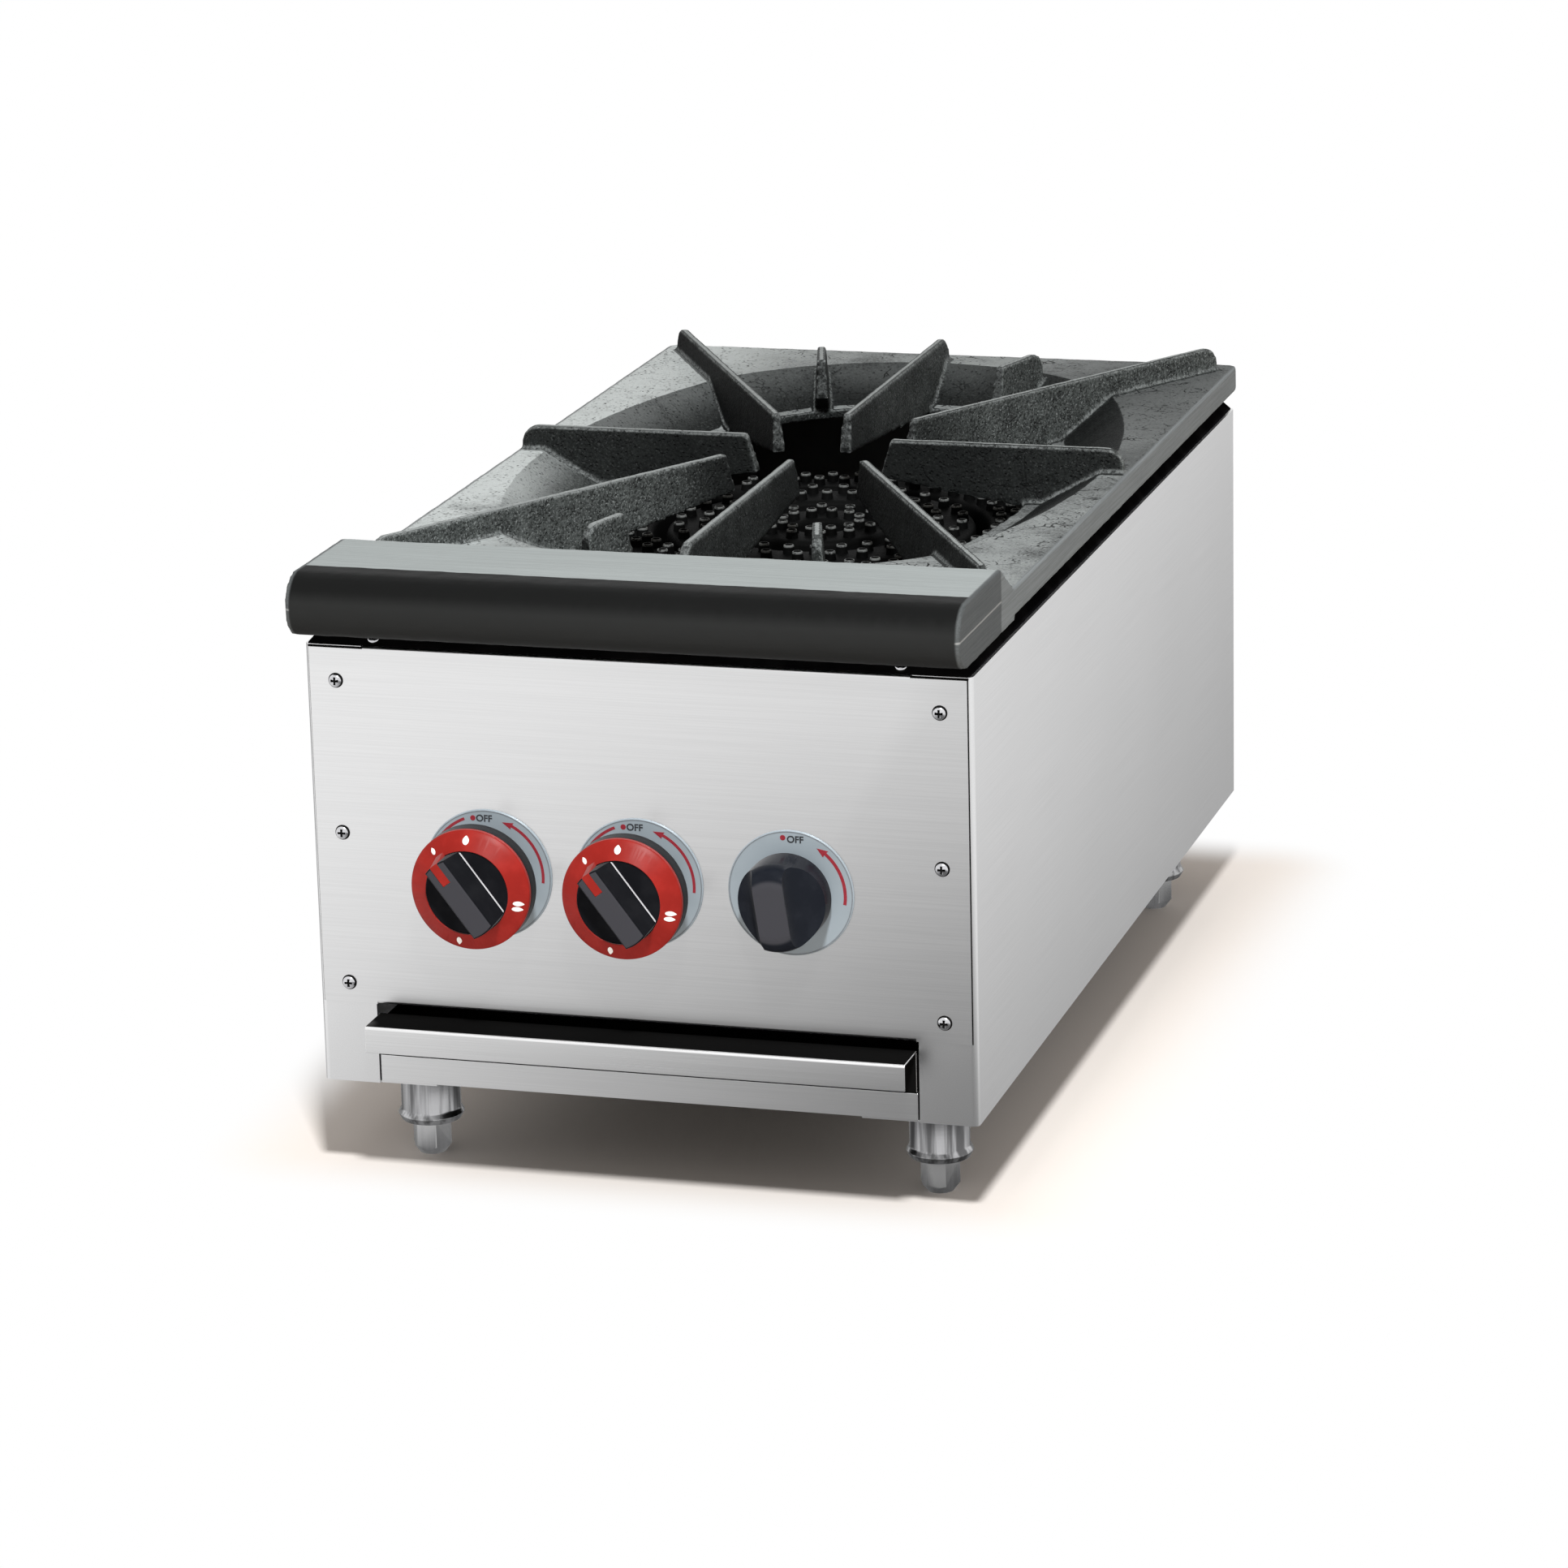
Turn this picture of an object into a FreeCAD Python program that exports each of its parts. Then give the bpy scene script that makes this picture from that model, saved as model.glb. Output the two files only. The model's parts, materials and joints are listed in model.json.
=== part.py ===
import FreeCAD, Part
import math
import os

# Single burner gas range: a folded stainless cabinet on four legs carries a cast-iron star grate over a
# ringed gas burner, with two main valves, a pilot valve and a pull-out drip tray.
# Millimetres, +Z up, front towards -Y. The origin is on the floor under the middle of the range.

V = FreeCAD.Vector

# Cabinet
CABINET_WIDTH = 400.0
CABINET_DEPTH = 710.0
CABINET_HEIGHT = 267.0
LEG_HEIGHT = 65.0
NOSE_OVERHANG = 27.0        # casting ahead of the cabinet face
REAR_OVERHANG = 13.0        # casting behind the cabinet back
SHEET = 1.2
BEND_RADIUS = 4.0           # outside radius of the side panel's upright bends
FRONT_FLANGE = 35.0         # side panel beside the front opening
REAR_FLANGE = 20.0          # side panel beside the rear opening
FLOOR_FLANGE = 70.0         # lower flange, carries the legs and the tray runners
ROOF_FLANGE = 18.0          # upper flange, carries the top frame

# Front and back panels
PANEL_EDGE = 3.0            # side panel left showing beside the front panel
PANEL_GAP = 6.0             # between the panel's lower edge and the tray's pull lip
PANEL_BEND = 2.0
PANEL_RETURN = 14.0         # depth of the folded upper and lower edges
PANEL_STEP = 1.5            # upright ends of the panel stop short of the folded top
FIT_GAP = 1.0               # between sheets that lie side by side
SCREW_INSET = 19.0          # screw lines from the sides of the cabinet
SCREW_LOW = 12.5            # lowest screws above the panel's lower edge
SCREW_HIGH = 21.0           # highest screws below the cabinet top
SCREW_RADIUS = 2.5
SCREW_LENGTH = 9.0
SCREW_HEAD_RADIUS = 4.5
SCREW_HEAD_HEIGHT = 2.6
HOLE_CLEARANCE = 0.3
BACK_LAP = 14.0             # back panel behind the rear flanges
BACK_SCREW_INSET = 9.0      # screw line from the edge of the rear flange
VENT_COUNT = 9
VENT_PITCH = 30.0
VENT_WIDTH = 8.0
VENT_LENGTH = 60.0
VENT_DROP = 116.0           # middle of the vents below the cabinet top

# Base rails, tray runners and drip tray
RAIL_HEIGHT = 16.5
RAIL_DEPTH = 24.0
RAIL_LIP = 8.0
REAR_RAIL_HEIGHT = 34.0
TRAY_SIDE_GAP = 1.5         # between the tray and the edges of the front opening
TRAY_END_GAP = 68.0         # between the tray and the cabinet back
TRAY_WALL = 1.0
TRAY_SIDE = 21.0
TRAY_CLEARANCE = 0.5        # underside of the tray above the front base rail
TRAY_SLIP = 0.3             # tray above its runners
TRAY_SET_BACK = 2.0         # tray front wall behind the cabinet face
LIP_REACH = 25.0
LIP_HEIGHT = 25.3           # top of the pull lip above the tray's underside
LIP_FACE = 16.0
LIP_BEND = 1.8
RUNNER_GUIDE = 1.5          # beside the tray
RUNNER_LEDGE = 18.0
RUNNER_FOOT = 22.0
RUNNER_HEIGHT = 38.0
RUNNER_LEG_GAP = 4.0        # runner ends from the leg nuts

# Top frame
FRAME_INSET = 1.5
FRAME_TAPER = 7.0           # walls leaning in from foot to top
FRAME_HEIGHT = 8.6
FRAME_LEG = 25.0
FRAME_WALL = 2.5

# Star grate casting
PLATE_RISE = 18.4           # plate top above the top frame
FIN_RISE = 16.0             # pot fins above the plate
NOSE_RISE = 19.0            # front rail above the plate
NOSE_FLAT_BACK = 69.0       # behind the cabinet face
NOSE_SLOPE = 31.0
NOSE_UPPER_RADIUS = 19.0
NOSE_LOWER_RADIUS = 17.0
NOSE_LAND = 3.0             # flat underside between the front round and the hollow
CASTING_WALL = 8.0
SKIRT = 12.0
PLATE_CORNER = 8.0
SKIRT_BEVEL = 3.0
BOWL_SIDE_MARGIN = 18.0     # plate beside the bowl's brim
BOWL_FRONT_MARGIN = 13.0    # plate between the nose and the brim
BOWL_BACK_MARGIN = 28.0
BOWL_CORNER_SIDE = 45.0     # corners of the brim in from its sides
BOWL_CORNER_BACK = 78.0
BOWL_CORNER_FRONT = 60.0
STAR_FORWARD = 9.0          # middle of the star ahead of the bowl's middle
BOWL_RUN = 38.0             # slope of the bowl in plan
BOWL_DROP = 21.0
LEDGE_WIDTH = 10.0
LEDGE_THICK = 6.0
CORNER_SHARE = 0.75         # how far the bowl corners move in with the bowl's sides
FIN_TOP_WIDTH = 5.5
FIN_ROOT_WIDTH = 10.5
FIN_TIP_DEPTH = 24.5
FIN_TIP_RAKE = 7.0
FIN_END_ROUND = 11.0
FIN_ROOT = 4.0              # fins sunk into the bowl
SIDE_TIP = 40.0
LONG_TIP = 58.0             # tips of the front and back fins
DIAGONAL_TIP_X = 42.0
DIAGONAL_TIP_Y = 53.0
DIAGONAL_SIDE_GAP = 13.0    # outer ends of the diagonal fins from the casting's sides
DIAGONAL_BACK_END = 11.0    # past the back of the brim
DIAGONAL_FRONT_END = 29.0   # past the front of the brim, into the nose
FIN_END_GAP = 3.0           # plate left outside a fin's end
SHORT_FIN_ANGLE = 15.5      # either side of the front-to-back line
SHORT_FIN_BACK = 60.0        # lengths of the short fins
SHORT_FIN_FRONT = 46.0
SHORT_FIN_BACK_END = 6.0    # outer ends short of the brim's depth
SHORT_FIN_FRONT_END = 3.7

# Burner
BURNER_DROP = 15.0          # top of the rings below the cabinet top
RING_HEIGHT = 30.0
CENTRE_HOLE_RADIUS = 17.0
INNER_RING_WIDTH = 27.0
MIDDLE_RING_GAP = 22.0      # between the inner and the middle ring
MIDDLE_RING_WIDTH = 32.0
OUTER_RING_GAP = 8.0        # between the middle and the outer ring
OUTER_RING_WIDTH = 26.0
RING_EDGE = 3.0             # bevel at the top of each ring
SPOKE_COUNT = 3
SPOKE_WIDTH = 18.0
SPOKE_DROP = 7.0
NIPPLE_HEIGHT = 5.5
NIPPLE_ROOT_RADIUS = 4.2
NIPPLE_TIP_RADIUS = 3.2
NIPPLE_ROW_EDGE = 8.0       # nipple rows from the edges of a ring
OUTER_NIPPLES = 44
MIDDLE_NIPPLES = 28
INNER_NIPPLES = 12
STRAP_X = 48.0
STRAP_WIDTH = 20.0
STRAP_THICK = 3.0
BAR_GAP = 5.0               # between the outer ring and the burner bars, in plan
BAR_WIDTH = 26.0
BAR_HEIGHT = 14.0
BAR_WALL = 2.0

# Gas line
KNOB_HEIGHT = 134.5         # knob axes above the cabinet bottom
DIAL_GAP = 13.5             # between neighbouring dials
KNOB_PUSH = 4.0             # travel of a knob pushed in
KNOB_MIDDLE = 0.0
STEM_RADIUS = 4.0
STEM_FIT = 0.05
STEM_END = 36.0             # behind the cabinet face
STEM_SHOULDER_RADIUS = 5.5
COLLAR_STOP = 0.5           # left between collar and valve when the knob is in
VALVE_NECK = 12.0
VALVE_NECK_RADIUS = 10.0
VALVE_BODY = 30.0
VALVE_BODY_RADIUS = 15.0
VALVE_OUTLET = 12.0
VALVE_OUTLET_RADIUS = 8.0
STEM_ROOM = 2.0             # left behind the stem when the knob is in
VALVE_INLET_RADIUS = 9.0
MANIFOLD_DROP = 34.0        # manifold axis below the knob axes
PIPE_RADIUS = 10.65
PIPE_WALL = 2.65
MANIFOLD_END = 24.0         # manifold past its last valve on the left
MANIFOLD_CAP = 10.0
SUPPLY_START = 13.0         # manifold past its last valve on the right
SUPPLY_BEND = 20.0
SUPPLY_END = 48.0           # pipe stops this far ahead of the cabinet back
INLET_THREAD_RADIUS = 10.48
INLET_THREAD = 12.0
INLET_BODY_RADIUS = 13.0    # through the back panel
INLET_SLEEVE_RADIUS = 15.0
INLET_FLANGE_RADIUS = 19.0
INLET_FLANGE = 5.0
INJECTOR_HEX = 9.5          # half the width across flats
INJECTOR_HEX_LENGTH = 18.0
INJECTOR_REACH = 8.0        # neck past the front of the mouth plate
INJECTOR_NECK_RADIUS = 6.0
INJECTOR_COLLAR_RADIUS = 9.0
INJECTOR_COLLAR = 5.0
MIXER_GAP = 32.0            # between the injector's hexagon and the mouth plate
MIXER_WALL = 3.0
MOUTH_RADIUS = 24.0
MOUTH_PLATE = 3.0
THROAT_RADIUS = 14.0
MIXER_RADIUS = 17.0
BELL_LENGTH = 34.0
THROAT_LENGTH = 14.0
DIFFUSER_LENGTH = 34.0
ELBOW_RADIUS = 32.0
WINDOW_COUNT = 3
WINDOW_RADIUS = 5.0
WINDOW_CIRCLE = 14.5
SHUTTER_THICK = 1.5
SHUTTER_GAP = 0.4
SHUTTER_TAB = 9.0
PILOT_TUBE_RADIUS = 3.0
PILOT_BEND = 20.0
PILOT_GAP = 9.0             # between the outer ring and the pilot
PILOT_RADIUS = 6.0
PILOT_DROP = 15.0           # top of the pilot below the cabinet top
PILOT_HEIGHT = 30.0
PILOT_BRACKET = 14.0

# Dials and knobs
MAIN_DIAL_RADIUS = 39.0
PILOT_DIAL_RADIUS = 37.5
DIAL_THICK = 1.5
DIAL_EDGE = 0.5
DIAL_HOLE = 8.0
KNOB_GAP = 2.5              # left between knob and dial when the knob is in
KNOB_RING_FRONT = 40.0      # inner edge of the ring ahead of the cabinet face
KNOB_RING_SLOPE = 7.0       # outer edge of the ring behind its inner edge
KNOB_RING_THICK = 3.0
KNOB_RADIUS = 36.0
KNOB_FACE_RADIUS = 25.0
KNOB_FACE_SINK = 1.0
KNOB_HUB_RADIUS = 29.0
KNOB_RIM = 9.0
WING_WIDTH = 14.0
WING_FOOT = 22.0            # wing where its flanks meet the knob face
WING_RADIUS = 24.5
WING_HEIGHT = 14.0
WING_EDGE = 1.5
POINTER_WIDTH = 5.5
POINTER_INNER = 11.0
POINTER_OUTER = 27.5        # where the pointer leaves the ring
MAIN_KNOB_TURN = 37.0       # pointer left of upright, as the range is shown
SOCKET_DEPTH = 22.0
PILOT_KNOB_RADIUS = 26.0
PILOT_KNOB_RIM = 7.0
PILOT_KNOB_FRONT = 42.0
PILOT_KNOB_FACE = 14.0
PILOT_WING_WIDTH = 18.0
SCOOP_RADIUS = 21.0
SCOOP_FLOOR = 20.0          # ahead of the cabinet face
PILOT_KNOB_TURN = 8.0
COLLAR_RADIUS = 6.8
COLLAR_FRONT = 2.0          # ahead of the cabinet face
COLLAR_LENGTH = 3.5
COLLAR_GAP = 0.3

# Legs and levelling feet
LEG_SIDE_INSET = 41.5       # from the sides of the cabinet
LEG_INSET = 69.0            # front legs behind the face, rear legs ahead of the back
LEG_PAD_RADIUS = 22.0
LEG_PAD = 2.0
LEG_RADIUS = 18.0
LEG_COLLAR_RADIUS = 20.0
LEG_COLLAR = 7.5
FOOT_VISIBLE = 21.2
FOOT_GAP = 0.3
FOOT_FLAT = 10.5            # half the width across flats
FOOT_NOSE_RADIUS = 17.0
FOOT_SOLE_RADIUS = 8.0
FOOT_STUD_RADIUS = 5.0
STUD_ROOM = 2.3             # above the stud with the foot screwed in
STUD_FIT = 0.05
LEG_ROOF = 11.5             # leg left above the stud's thread
LEG_BOLT_RADIUS = 5.0
LEG_BOLT = 9.0
LEG_NUT_FLAT = 8.0
LEG_NUT = 6.0

# Places that several pieces share
HALF = CABINET_WIDTH / 2
KNOB_PROJECTION = KNOB_RING_FRONT + WING_HEIGHT
FRONT = KNOB_PROJECTION - (KNOB_PROJECTION + CABINET_DEPTH + REAR_OVERHANG) / 2
BACK = FRONT + CABINET_DEPTH
BASE = LEG_HEIGHT
TOP = BASE + CABINET_HEIGHT
OPENING_HALF = HALF - FRONT_FLANGE
REAR_OPENING_HALF = HALF - REAR_FLANGE
TRAY_HALF = OPENING_HALF - TRAY_SIDE_GAP
TRAY_FLOOR = BASE + SHEET + RAIL_HEIGHT + TRAY_CLEARANCE
LIP_TOP = TRAY_FLOOR + LIP_HEIGHT
PANEL_LOW = LIP_TOP + PANEL_GAP
SCREW_X = HALF - SCREW_INSET
BACK_SCREW_X = REAR_OPENING_HALF + BACK_SCREW_INSET
SCREW_ZS = (PANEL_LOW + SCREW_LOW, (PANEL_LOW + SCREW_LOW + TOP - SCREW_HIGH) / 2, TOP - SCREW_HIGH)
FRAME_TOP = TOP + FRAME_HEIGHT
PLATE_TOP = FRAME_TOP + PLATE_RISE
FIN_TOP = PLATE_TOP + FIN_RISE
NOSE_TOP = PLATE_TOP + NOSE_RISE
LEDGE_TOP = PLATE_TOP - BOWL_DROP
GRATE_FRONT = FRONT - NOSE_OVERHANG
GRATE_BACK = BACK + REAR_OVERHANG
NOSE_FLAT_END = FRONT + NOSE_FLAT_BACK
NOSE_FOOT = NOSE_FLAT_END + NOSE_SLOPE
BOWL_FRONT = NOSE_FOOT + BOWL_FRONT_MARGIN
BOWL_BACK = GRATE_BACK - BOWL_BACK_MARGIN
STAR_Y = (BOWL_FRONT + BOWL_BACK) / 2 - STAR_FORWARD
BRIM_X = HALF - BOWL_SIDE_MARGIN
BRIM_BACK = BOWL_BACK - STAR_Y
BRIM_FRONT = STAR_Y - BOWL_FRONT
BRIM_CORNER_X = BRIM_X - BOWL_CORNER_SIDE
BRIM_CORNER_BACK = BRIM_BACK - BOWL_CORNER_BACK
BRIM_CORNER_FRONT = BRIM_FRONT - BOWL_CORNER_FRONT
KNOB_Z = BASE + KNOB_HEIGHT
KNOB_PITCH = 2 * MAIN_DIAL_RADIUS + DIAL_GAP
KNOB_XS = (KNOB_MIDDLE - KNOB_PITCH, KNOB_MIDDLE, KNOB_MIDDLE + KNOB_PITCH)
BURNER_TOP = TOP - BURNER_DROP
BURNER_BOTTOM = BURNER_TOP - RING_HEIGHT
INNER_RING = (CENTRE_HOLE_RADIUS, CENTRE_HOLE_RADIUS + INNER_RING_WIDTH)
MIDDLE_RING = (INNER_RING[1] + MIDDLE_RING_GAP, INNER_RING[1] + MIDDLE_RING_GAP + MIDDLE_RING_WIDTH)
OUTER_RING = (MIDDLE_RING[1] + OUTER_RING_GAP, MIDDLE_RING[1] + OUTER_RING_GAP + OUTER_RING_WIDTH)
BAR_REACH = OUTER_RING[1] + BAR_GAP + BAR_WIDTH / 2
PILOT_REACH = math.sqrt(OUTER_RING[1] ** 2 - KNOB_XS[2] ** 2) + PILOT_RADIUS + PILOT_GAP
PILOT_Y = STAR_Y - PILOT_REACH
PILOT_TOP = TOP - PILOT_DROP
KNOB_REAR = DIAL_THICK + KNOB_PUSH + KNOB_GAP
VALVE_FRONT = FRONT + COLLAR_LENGTH - COLLAR_FRONT + KNOB_PUSH + COLLAR_STOP
VALVE_BODY_FRONT = VALVE_FRONT + VALVE_NECK
VALVE_BODY_BACK = VALVE_BODY_FRONT + VALVE_BODY
VALVE_BACK = VALVE_BODY_BACK + VALVE_OUTLET
MANIFOLD_Y = (VALVE_BODY_FRONT + VALVE_BODY_BACK) / 2
MANIFOLD_Z = KNOB_Z - MANIFOLD_DROP
INJECTOR_HEX_END = VALVE_BACK + INJECTOR_HEX_LENGTH
MIXER_MOUTH = INJECTOR_HEX_END + MIXER_GAP
SUPPLY_X = KNOB_XS[2] + SUPPLY_START + SUPPLY_BEND
LEG_X = HALF - LEG_SIDE_INSET
STUD_BORE_TOP = BASE - LEG_ROOF
LEG_YS = {"front": FRONT + LEG_INSET, "rear": BACK - LEG_INSET}
SIDES = {"left": -1, "right": 1}
TINY = 0.01


def box(x0, x1, y0, y1, z0, z1):
    return Part.makeBox(x1 - x0, y1 - y0, z1 - z0, V(x0, y0, z0))


def side_box(side, inner, outer, y0, y1, z0, z1):
    """Box between two distances from the middle plane, on the left (-1) or right (1)."""
    x0, x1 = sorted((side * inner, side * outer))
    return box(x0, x1, y0, y1, z0, z1)


def rod(radius, start, end):
    axis = end.sub(start)
    return Part.makeCylinder(radius, axis.Length, start, axis)


def hexagon(flat, start, end):
    """Hexagonal bar, flat being half its width across flats."""
    axis = end.sub(start)
    corner = flat / math.cos(math.pi / 6)
    ring = [V(corner * math.cos(k * math.pi / 3), corner * math.sin(k * math.pi / 3), 0) for k in range(7)]
    bar = Part.Face(Part.makePolygon(ring)).extrude(V(0, 0, axis.Length))
    bar.Placement = FreeCAD.Placement(start, FreeCAD.Rotation(V(0, 0, 1), axis))
    return bar


def fuse(first, *others):
    return first.fuse(list(others)).removeSplitter()


def cut(first, *others):
    return first.cut(list(others))


def face(steps, place):
    """Flat face bounded by lines to (u, v) and by arcs to (u, v, centre_u, centre_v)."""
    edges = []
    here = steps[0][:2]
    for step in list(steps[1:]) + [steps[0][:2]]:
        there = step[:2]
        if len(step) == 4:
            cu, cv = step[2:]
            mu = here[0] + there[0] - 2 * cu
            mv = here[1] + there[1] - 2 * cv
            reach = math.hypot(here[0] - cu, here[1] - cv) / math.hypot(mu, mv)
            via = place(cu + mu * reach, cv + mv * reach)
            edges.append(Part.Arc(place(*here), via, place(*there)).toShape())
        elif math.dist(here, there) > TINY:
            edges.append(Part.makeLine(place(*here), place(*there)))
        here = there
    return Part.Face(Part.Wire(edges))


def prism_x(steps, x0, x1):
    """Profile in (y, z) carried from x0 to x1."""
    return face(steps, lambda y, z: V(x0, y, z)).extrude(V(x1 - x0, 0, 0))


def prism_z(steps, z0, z1):
    """Profile in (x, y) carried from z0 to z1."""
    return face(steps, lambda x, y: V(x, y, z0)).extrude(V(0, 0, z1 - z0))


def turned_y(steps, x, z):
    """Profile in (radius, y) turned about the line along Y through x, z."""
    return face(steps, lambda r, y: V(x + r, y, z)).revolve(V(x, 0, z), V(0, 1, 0), 360)


def turned_z(steps, x, y):
    """Profile in (radius, z) turned about the upright line through x, y."""
    return face(steps, lambda r, z: V(x + r, y, z)).revolve(V(x, y, 0), V(0, 0, 1), 360)


def edges_near(shape, test):
    return [edge for edge in shape.Edges if test(edge.CenterOfMass)]


# Cabinet sheets

def folded_skin(inset):
    """Cabinet walls as one rounded block, moved in by inset."""
    block = box(-HALF + inset, HALF - inset, FRONT + SHEET + inset, BACK - inset, BASE, TOP)
    middle = (BASE + TOP) / 2
    upright = edges_near(block, lambda c: abs(c.z - middle) < TINY)
    return block.makeFillet(BEND_RADIUS - inset, upright)


def side_panel(side):
    inner_front = FRONT + 2 * SHEET
    inner_back = BACK - SHEET
    wall = folded_skin(0).cut(folded_skin(SHEET))
    middle = (FRONT + BACK) / 2
    front_half = side_box(side, OPENING_HALF, HALF, FRONT, middle, BASE, TOP)
    rear_half = side_box(side, REAR_OPENING_HALF, HALF, middle, BACK, BASE, TOP)
    wall = fuse(wall.common(front_half), wall.common(rear_half))
    floor = side_box(side, HALF - FLOOR_FLANGE, HALF - SHEET, inner_front, inner_back, BASE, BASE + SHEET)
    roof = side_box(side, HALF - ROOF_FLANGE, HALF - SHEET, inner_front, inner_back, TOP - SHEET, TOP)
    panel = fuse(wall, floor, roof)
    front_x = side * SCREW_X
    back_x = side * BACK_SCREW_X
    holes = [rod(SCREW_RADIUS, V(front_x, FRONT, z), V(front_x, inner_front, z)) for z in SCREW_ZS]
    holes += [rod(SCREW_RADIUS, V(back_x, inner_back - SHEET, z), V(back_x, BACK, z)) for z in SCREW_ZS]
    leg_hole = LEG_BOLT_RADIUS + HOLE_CLEARANCE
    holes += [rod(leg_hole, V(side * LEG_X, y, BASE), V(side * LEG_X, y, BASE + SHEET))
              for y in LEG_YS.values()]
    return cut(panel, *holes)


def front_panel():
    low = PANEL_LOW
    bend = FRONT + PANEL_BEND
    end = FRONT + PANEL_RETURN
    skin = FRONT + SHEET
    half_fold = OPENING_HALF - FIT_GAP
    channel = prism_x([
        (end, TOP), (bend, TOP), (FRONT, TOP - PANEL_BEND, bend, TOP - PANEL_BEND),
        (FRONT, low + PANEL_BEND), (bend, low, bend, low + PANEL_BEND), (end, low),
        (end, low + SHEET), (bend, low + SHEET), (skin, low + PANEL_BEND, bend, low + PANEL_BEND),
        (skin, TOP - PANEL_BEND), (bend, TOP - SHEET, bend, TOP - PANEL_BEND), (end, TOP - SHEET),
    ], -half_fold, half_fold)
    ends = [side_box(s, half_fold, HALF - PANEL_EDGE, FRONT, skin, low, TOP - PANEL_STEP) for s in (-1, 1)]
    panel = fuse(channel, *ends)
    screw_hole = SCREW_RADIUS + HOLE_CLEARANCE
    holes = [rod(screw_hole, V(s * SCREW_X, FRONT, z), V(s * SCREW_X, skin, z))
             for s in (-1, 1) for z in SCREW_ZS]
    holes += [rod(DIAL_HOLE, V(x, FRONT, KNOB_Z), V(x, skin, KNOB_Z)) for x in KNOB_XS]
    return cut(panel, *holes)


def vent_slot(x):
    z0 = TOP - VENT_DROP - VENT_LENGTH / 2
    z1 = z0 + VENT_LENGTH
    r = VENT_WIDTH / 2
    slot = box(x - r, x + r, BACK - 3 * SHEET, BACK, z0, z1)
    ends = [rod(r, V(x, BACK - 3 * SHEET, z), V(x, BACK, z)) for z in (z0, z1)]
    return fuse(slot, *ends)


def back_panel():
    y0 = BACK - 2 * SHEET
    y1 = BACK - SHEET
    half = REAR_OPENING_HALF + BACK_LAP
    low = BASE + SHEET + REAR_RAIL_HEIGHT + FIT_GAP
    sheet = box(-half, half, y0, y1, low, TOP - 2 * SHEET)
    first = -(VENT_COUNT - 1) / 2 * VENT_PITCH
    holes = [vent_slot(first + k * VENT_PITCH) for k in range(VENT_COUNT)]
    holes += [rod(SCREW_RADIUS, V(s * BACK_SCREW_X, y0, z), V(s * BACK_SCREW_X, y1, z))
              for s in (-1, 1) for z in SCREW_ZS]
    inlet_hole = INLET_BODY_RADIUS + HOLE_CLEARANCE
    holes.append(rod(inlet_hole, V(SUPPLY_X, y0, MANIFOLD_Z), V(SUPPLY_X, y1, MANIFOLD_Z)))
    return cut(sheet, *holes)


def pan_screw(x, y, z, out):
    """Domed screw with its head on the plane y, pointing along out: -1 to the front, 1 to the back."""
    head = y + out * SCREW_HEAD_HEIGHT
    rim = y + out * SCREW_HEAD_HEIGHT / 2
    flat = SCREW_HEAD_RADIUS / 2
    tail = y - out * SCREW_LENGTH
    shank = SCREW_RADIUS - TINY
    return turned_y([(0, head), (flat, head), (SCREW_HEAD_RADIUS, rim), (SCREW_HEAD_RADIUS, y), (shank, y),
                     (shank, tail), (0, tail)], x, z)


def screw_group(x, y, out):
    return Part.makeCompound([pan_screw(s * x, y, z, out) for s in (-1, 1) for z in SCREW_ZS])


def base_rail(half, web, depth, height):
    """Folded rail standing on the floor flanges, its web on the plane y = web."""
    low = BASE + SHEET
    wall = math.copysign(SHEET, depth)
    lip = math.copysign(RAIL_LIP, depth)
    return prism_x([(web, low), (web + depth, low), (web + depth, low + SHEET), (web + wall, low + SHEET),
                    (web + wall, low + height - SHEET), (web + lip, low + height - SHEET),
                    (web + lip, low + height), (web, low + height)], -half, half)


def tray_runner(side):
    guide = TRAY_HALF + RUNNER_GUIDE
    low = BASE + SHEET
    ledge = TRAY_FLOOR - TRAY_SLIP
    clear = LEG_NUT_FLAT / math.cos(math.pi / 6) + RUNNER_LEG_GAP
    y0 = LEG_YS["front"] + clear
    y1 = LEG_YS["rear"] - clear
    web = side_box(side, guide, guide + SHEET, y0, y1, low, BASE + RUNNER_HEIGHT)
    foot = side_box(side, guide, guide + RUNNER_FOOT, y0, y1, low, low + SHEET)
    shelf = side_box(side, guide - RUNNER_LEDGE, guide, y0, y1, ledge - SHEET, ledge)
    return fuse(web, foot, shelf)


def drip_tray():
    inside = TRAY_HALF - TRAY_WALL
    floor = TRAY_FLOOR + TRAY_WALL
    high = TRAY_FLOOR + TRAY_SIDE
    y0 = FRONT + TRAY_SET_BACK
    y1 = BACK - TRAY_END_GAP
    pan = box(-TRAY_HALF, TRAY_HALF, y0, y1, TRAY_FLOOR, high)
    return pan.cut(box(-inside, inside, y0 + TRAY_WALL, y1 - TRAY_WALL, floor, high))


def tray_pull():
    """Folded pull lip welded to the front wall of the tray."""
    back = FRONT + TRAY_SET_BACK
    stem = back - TRAY_WALL
    tip = FRONT - LIP_REACH
    face_low = LIP_TOP - LIP_FACE
    bend = tip + LIP_BEND
    crown = LIP_TOP - LIP_BEND
    return prism_x([(stem, TRAY_FLOOR), (back, TRAY_FLOOR), (back, LIP_TOP), (bend, LIP_TOP),
                    (tip, crown, bend, crown), (tip, face_low), (tip + TRAY_WALL, face_low),
                    (tip + TRAY_WALL, crown), (bend, LIP_TOP - TRAY_WALL, bend, crown),
                    (stem, LIP_TOP - TRAY_WALL)], -TRAY_HALF, TRAY_HALF)


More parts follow.
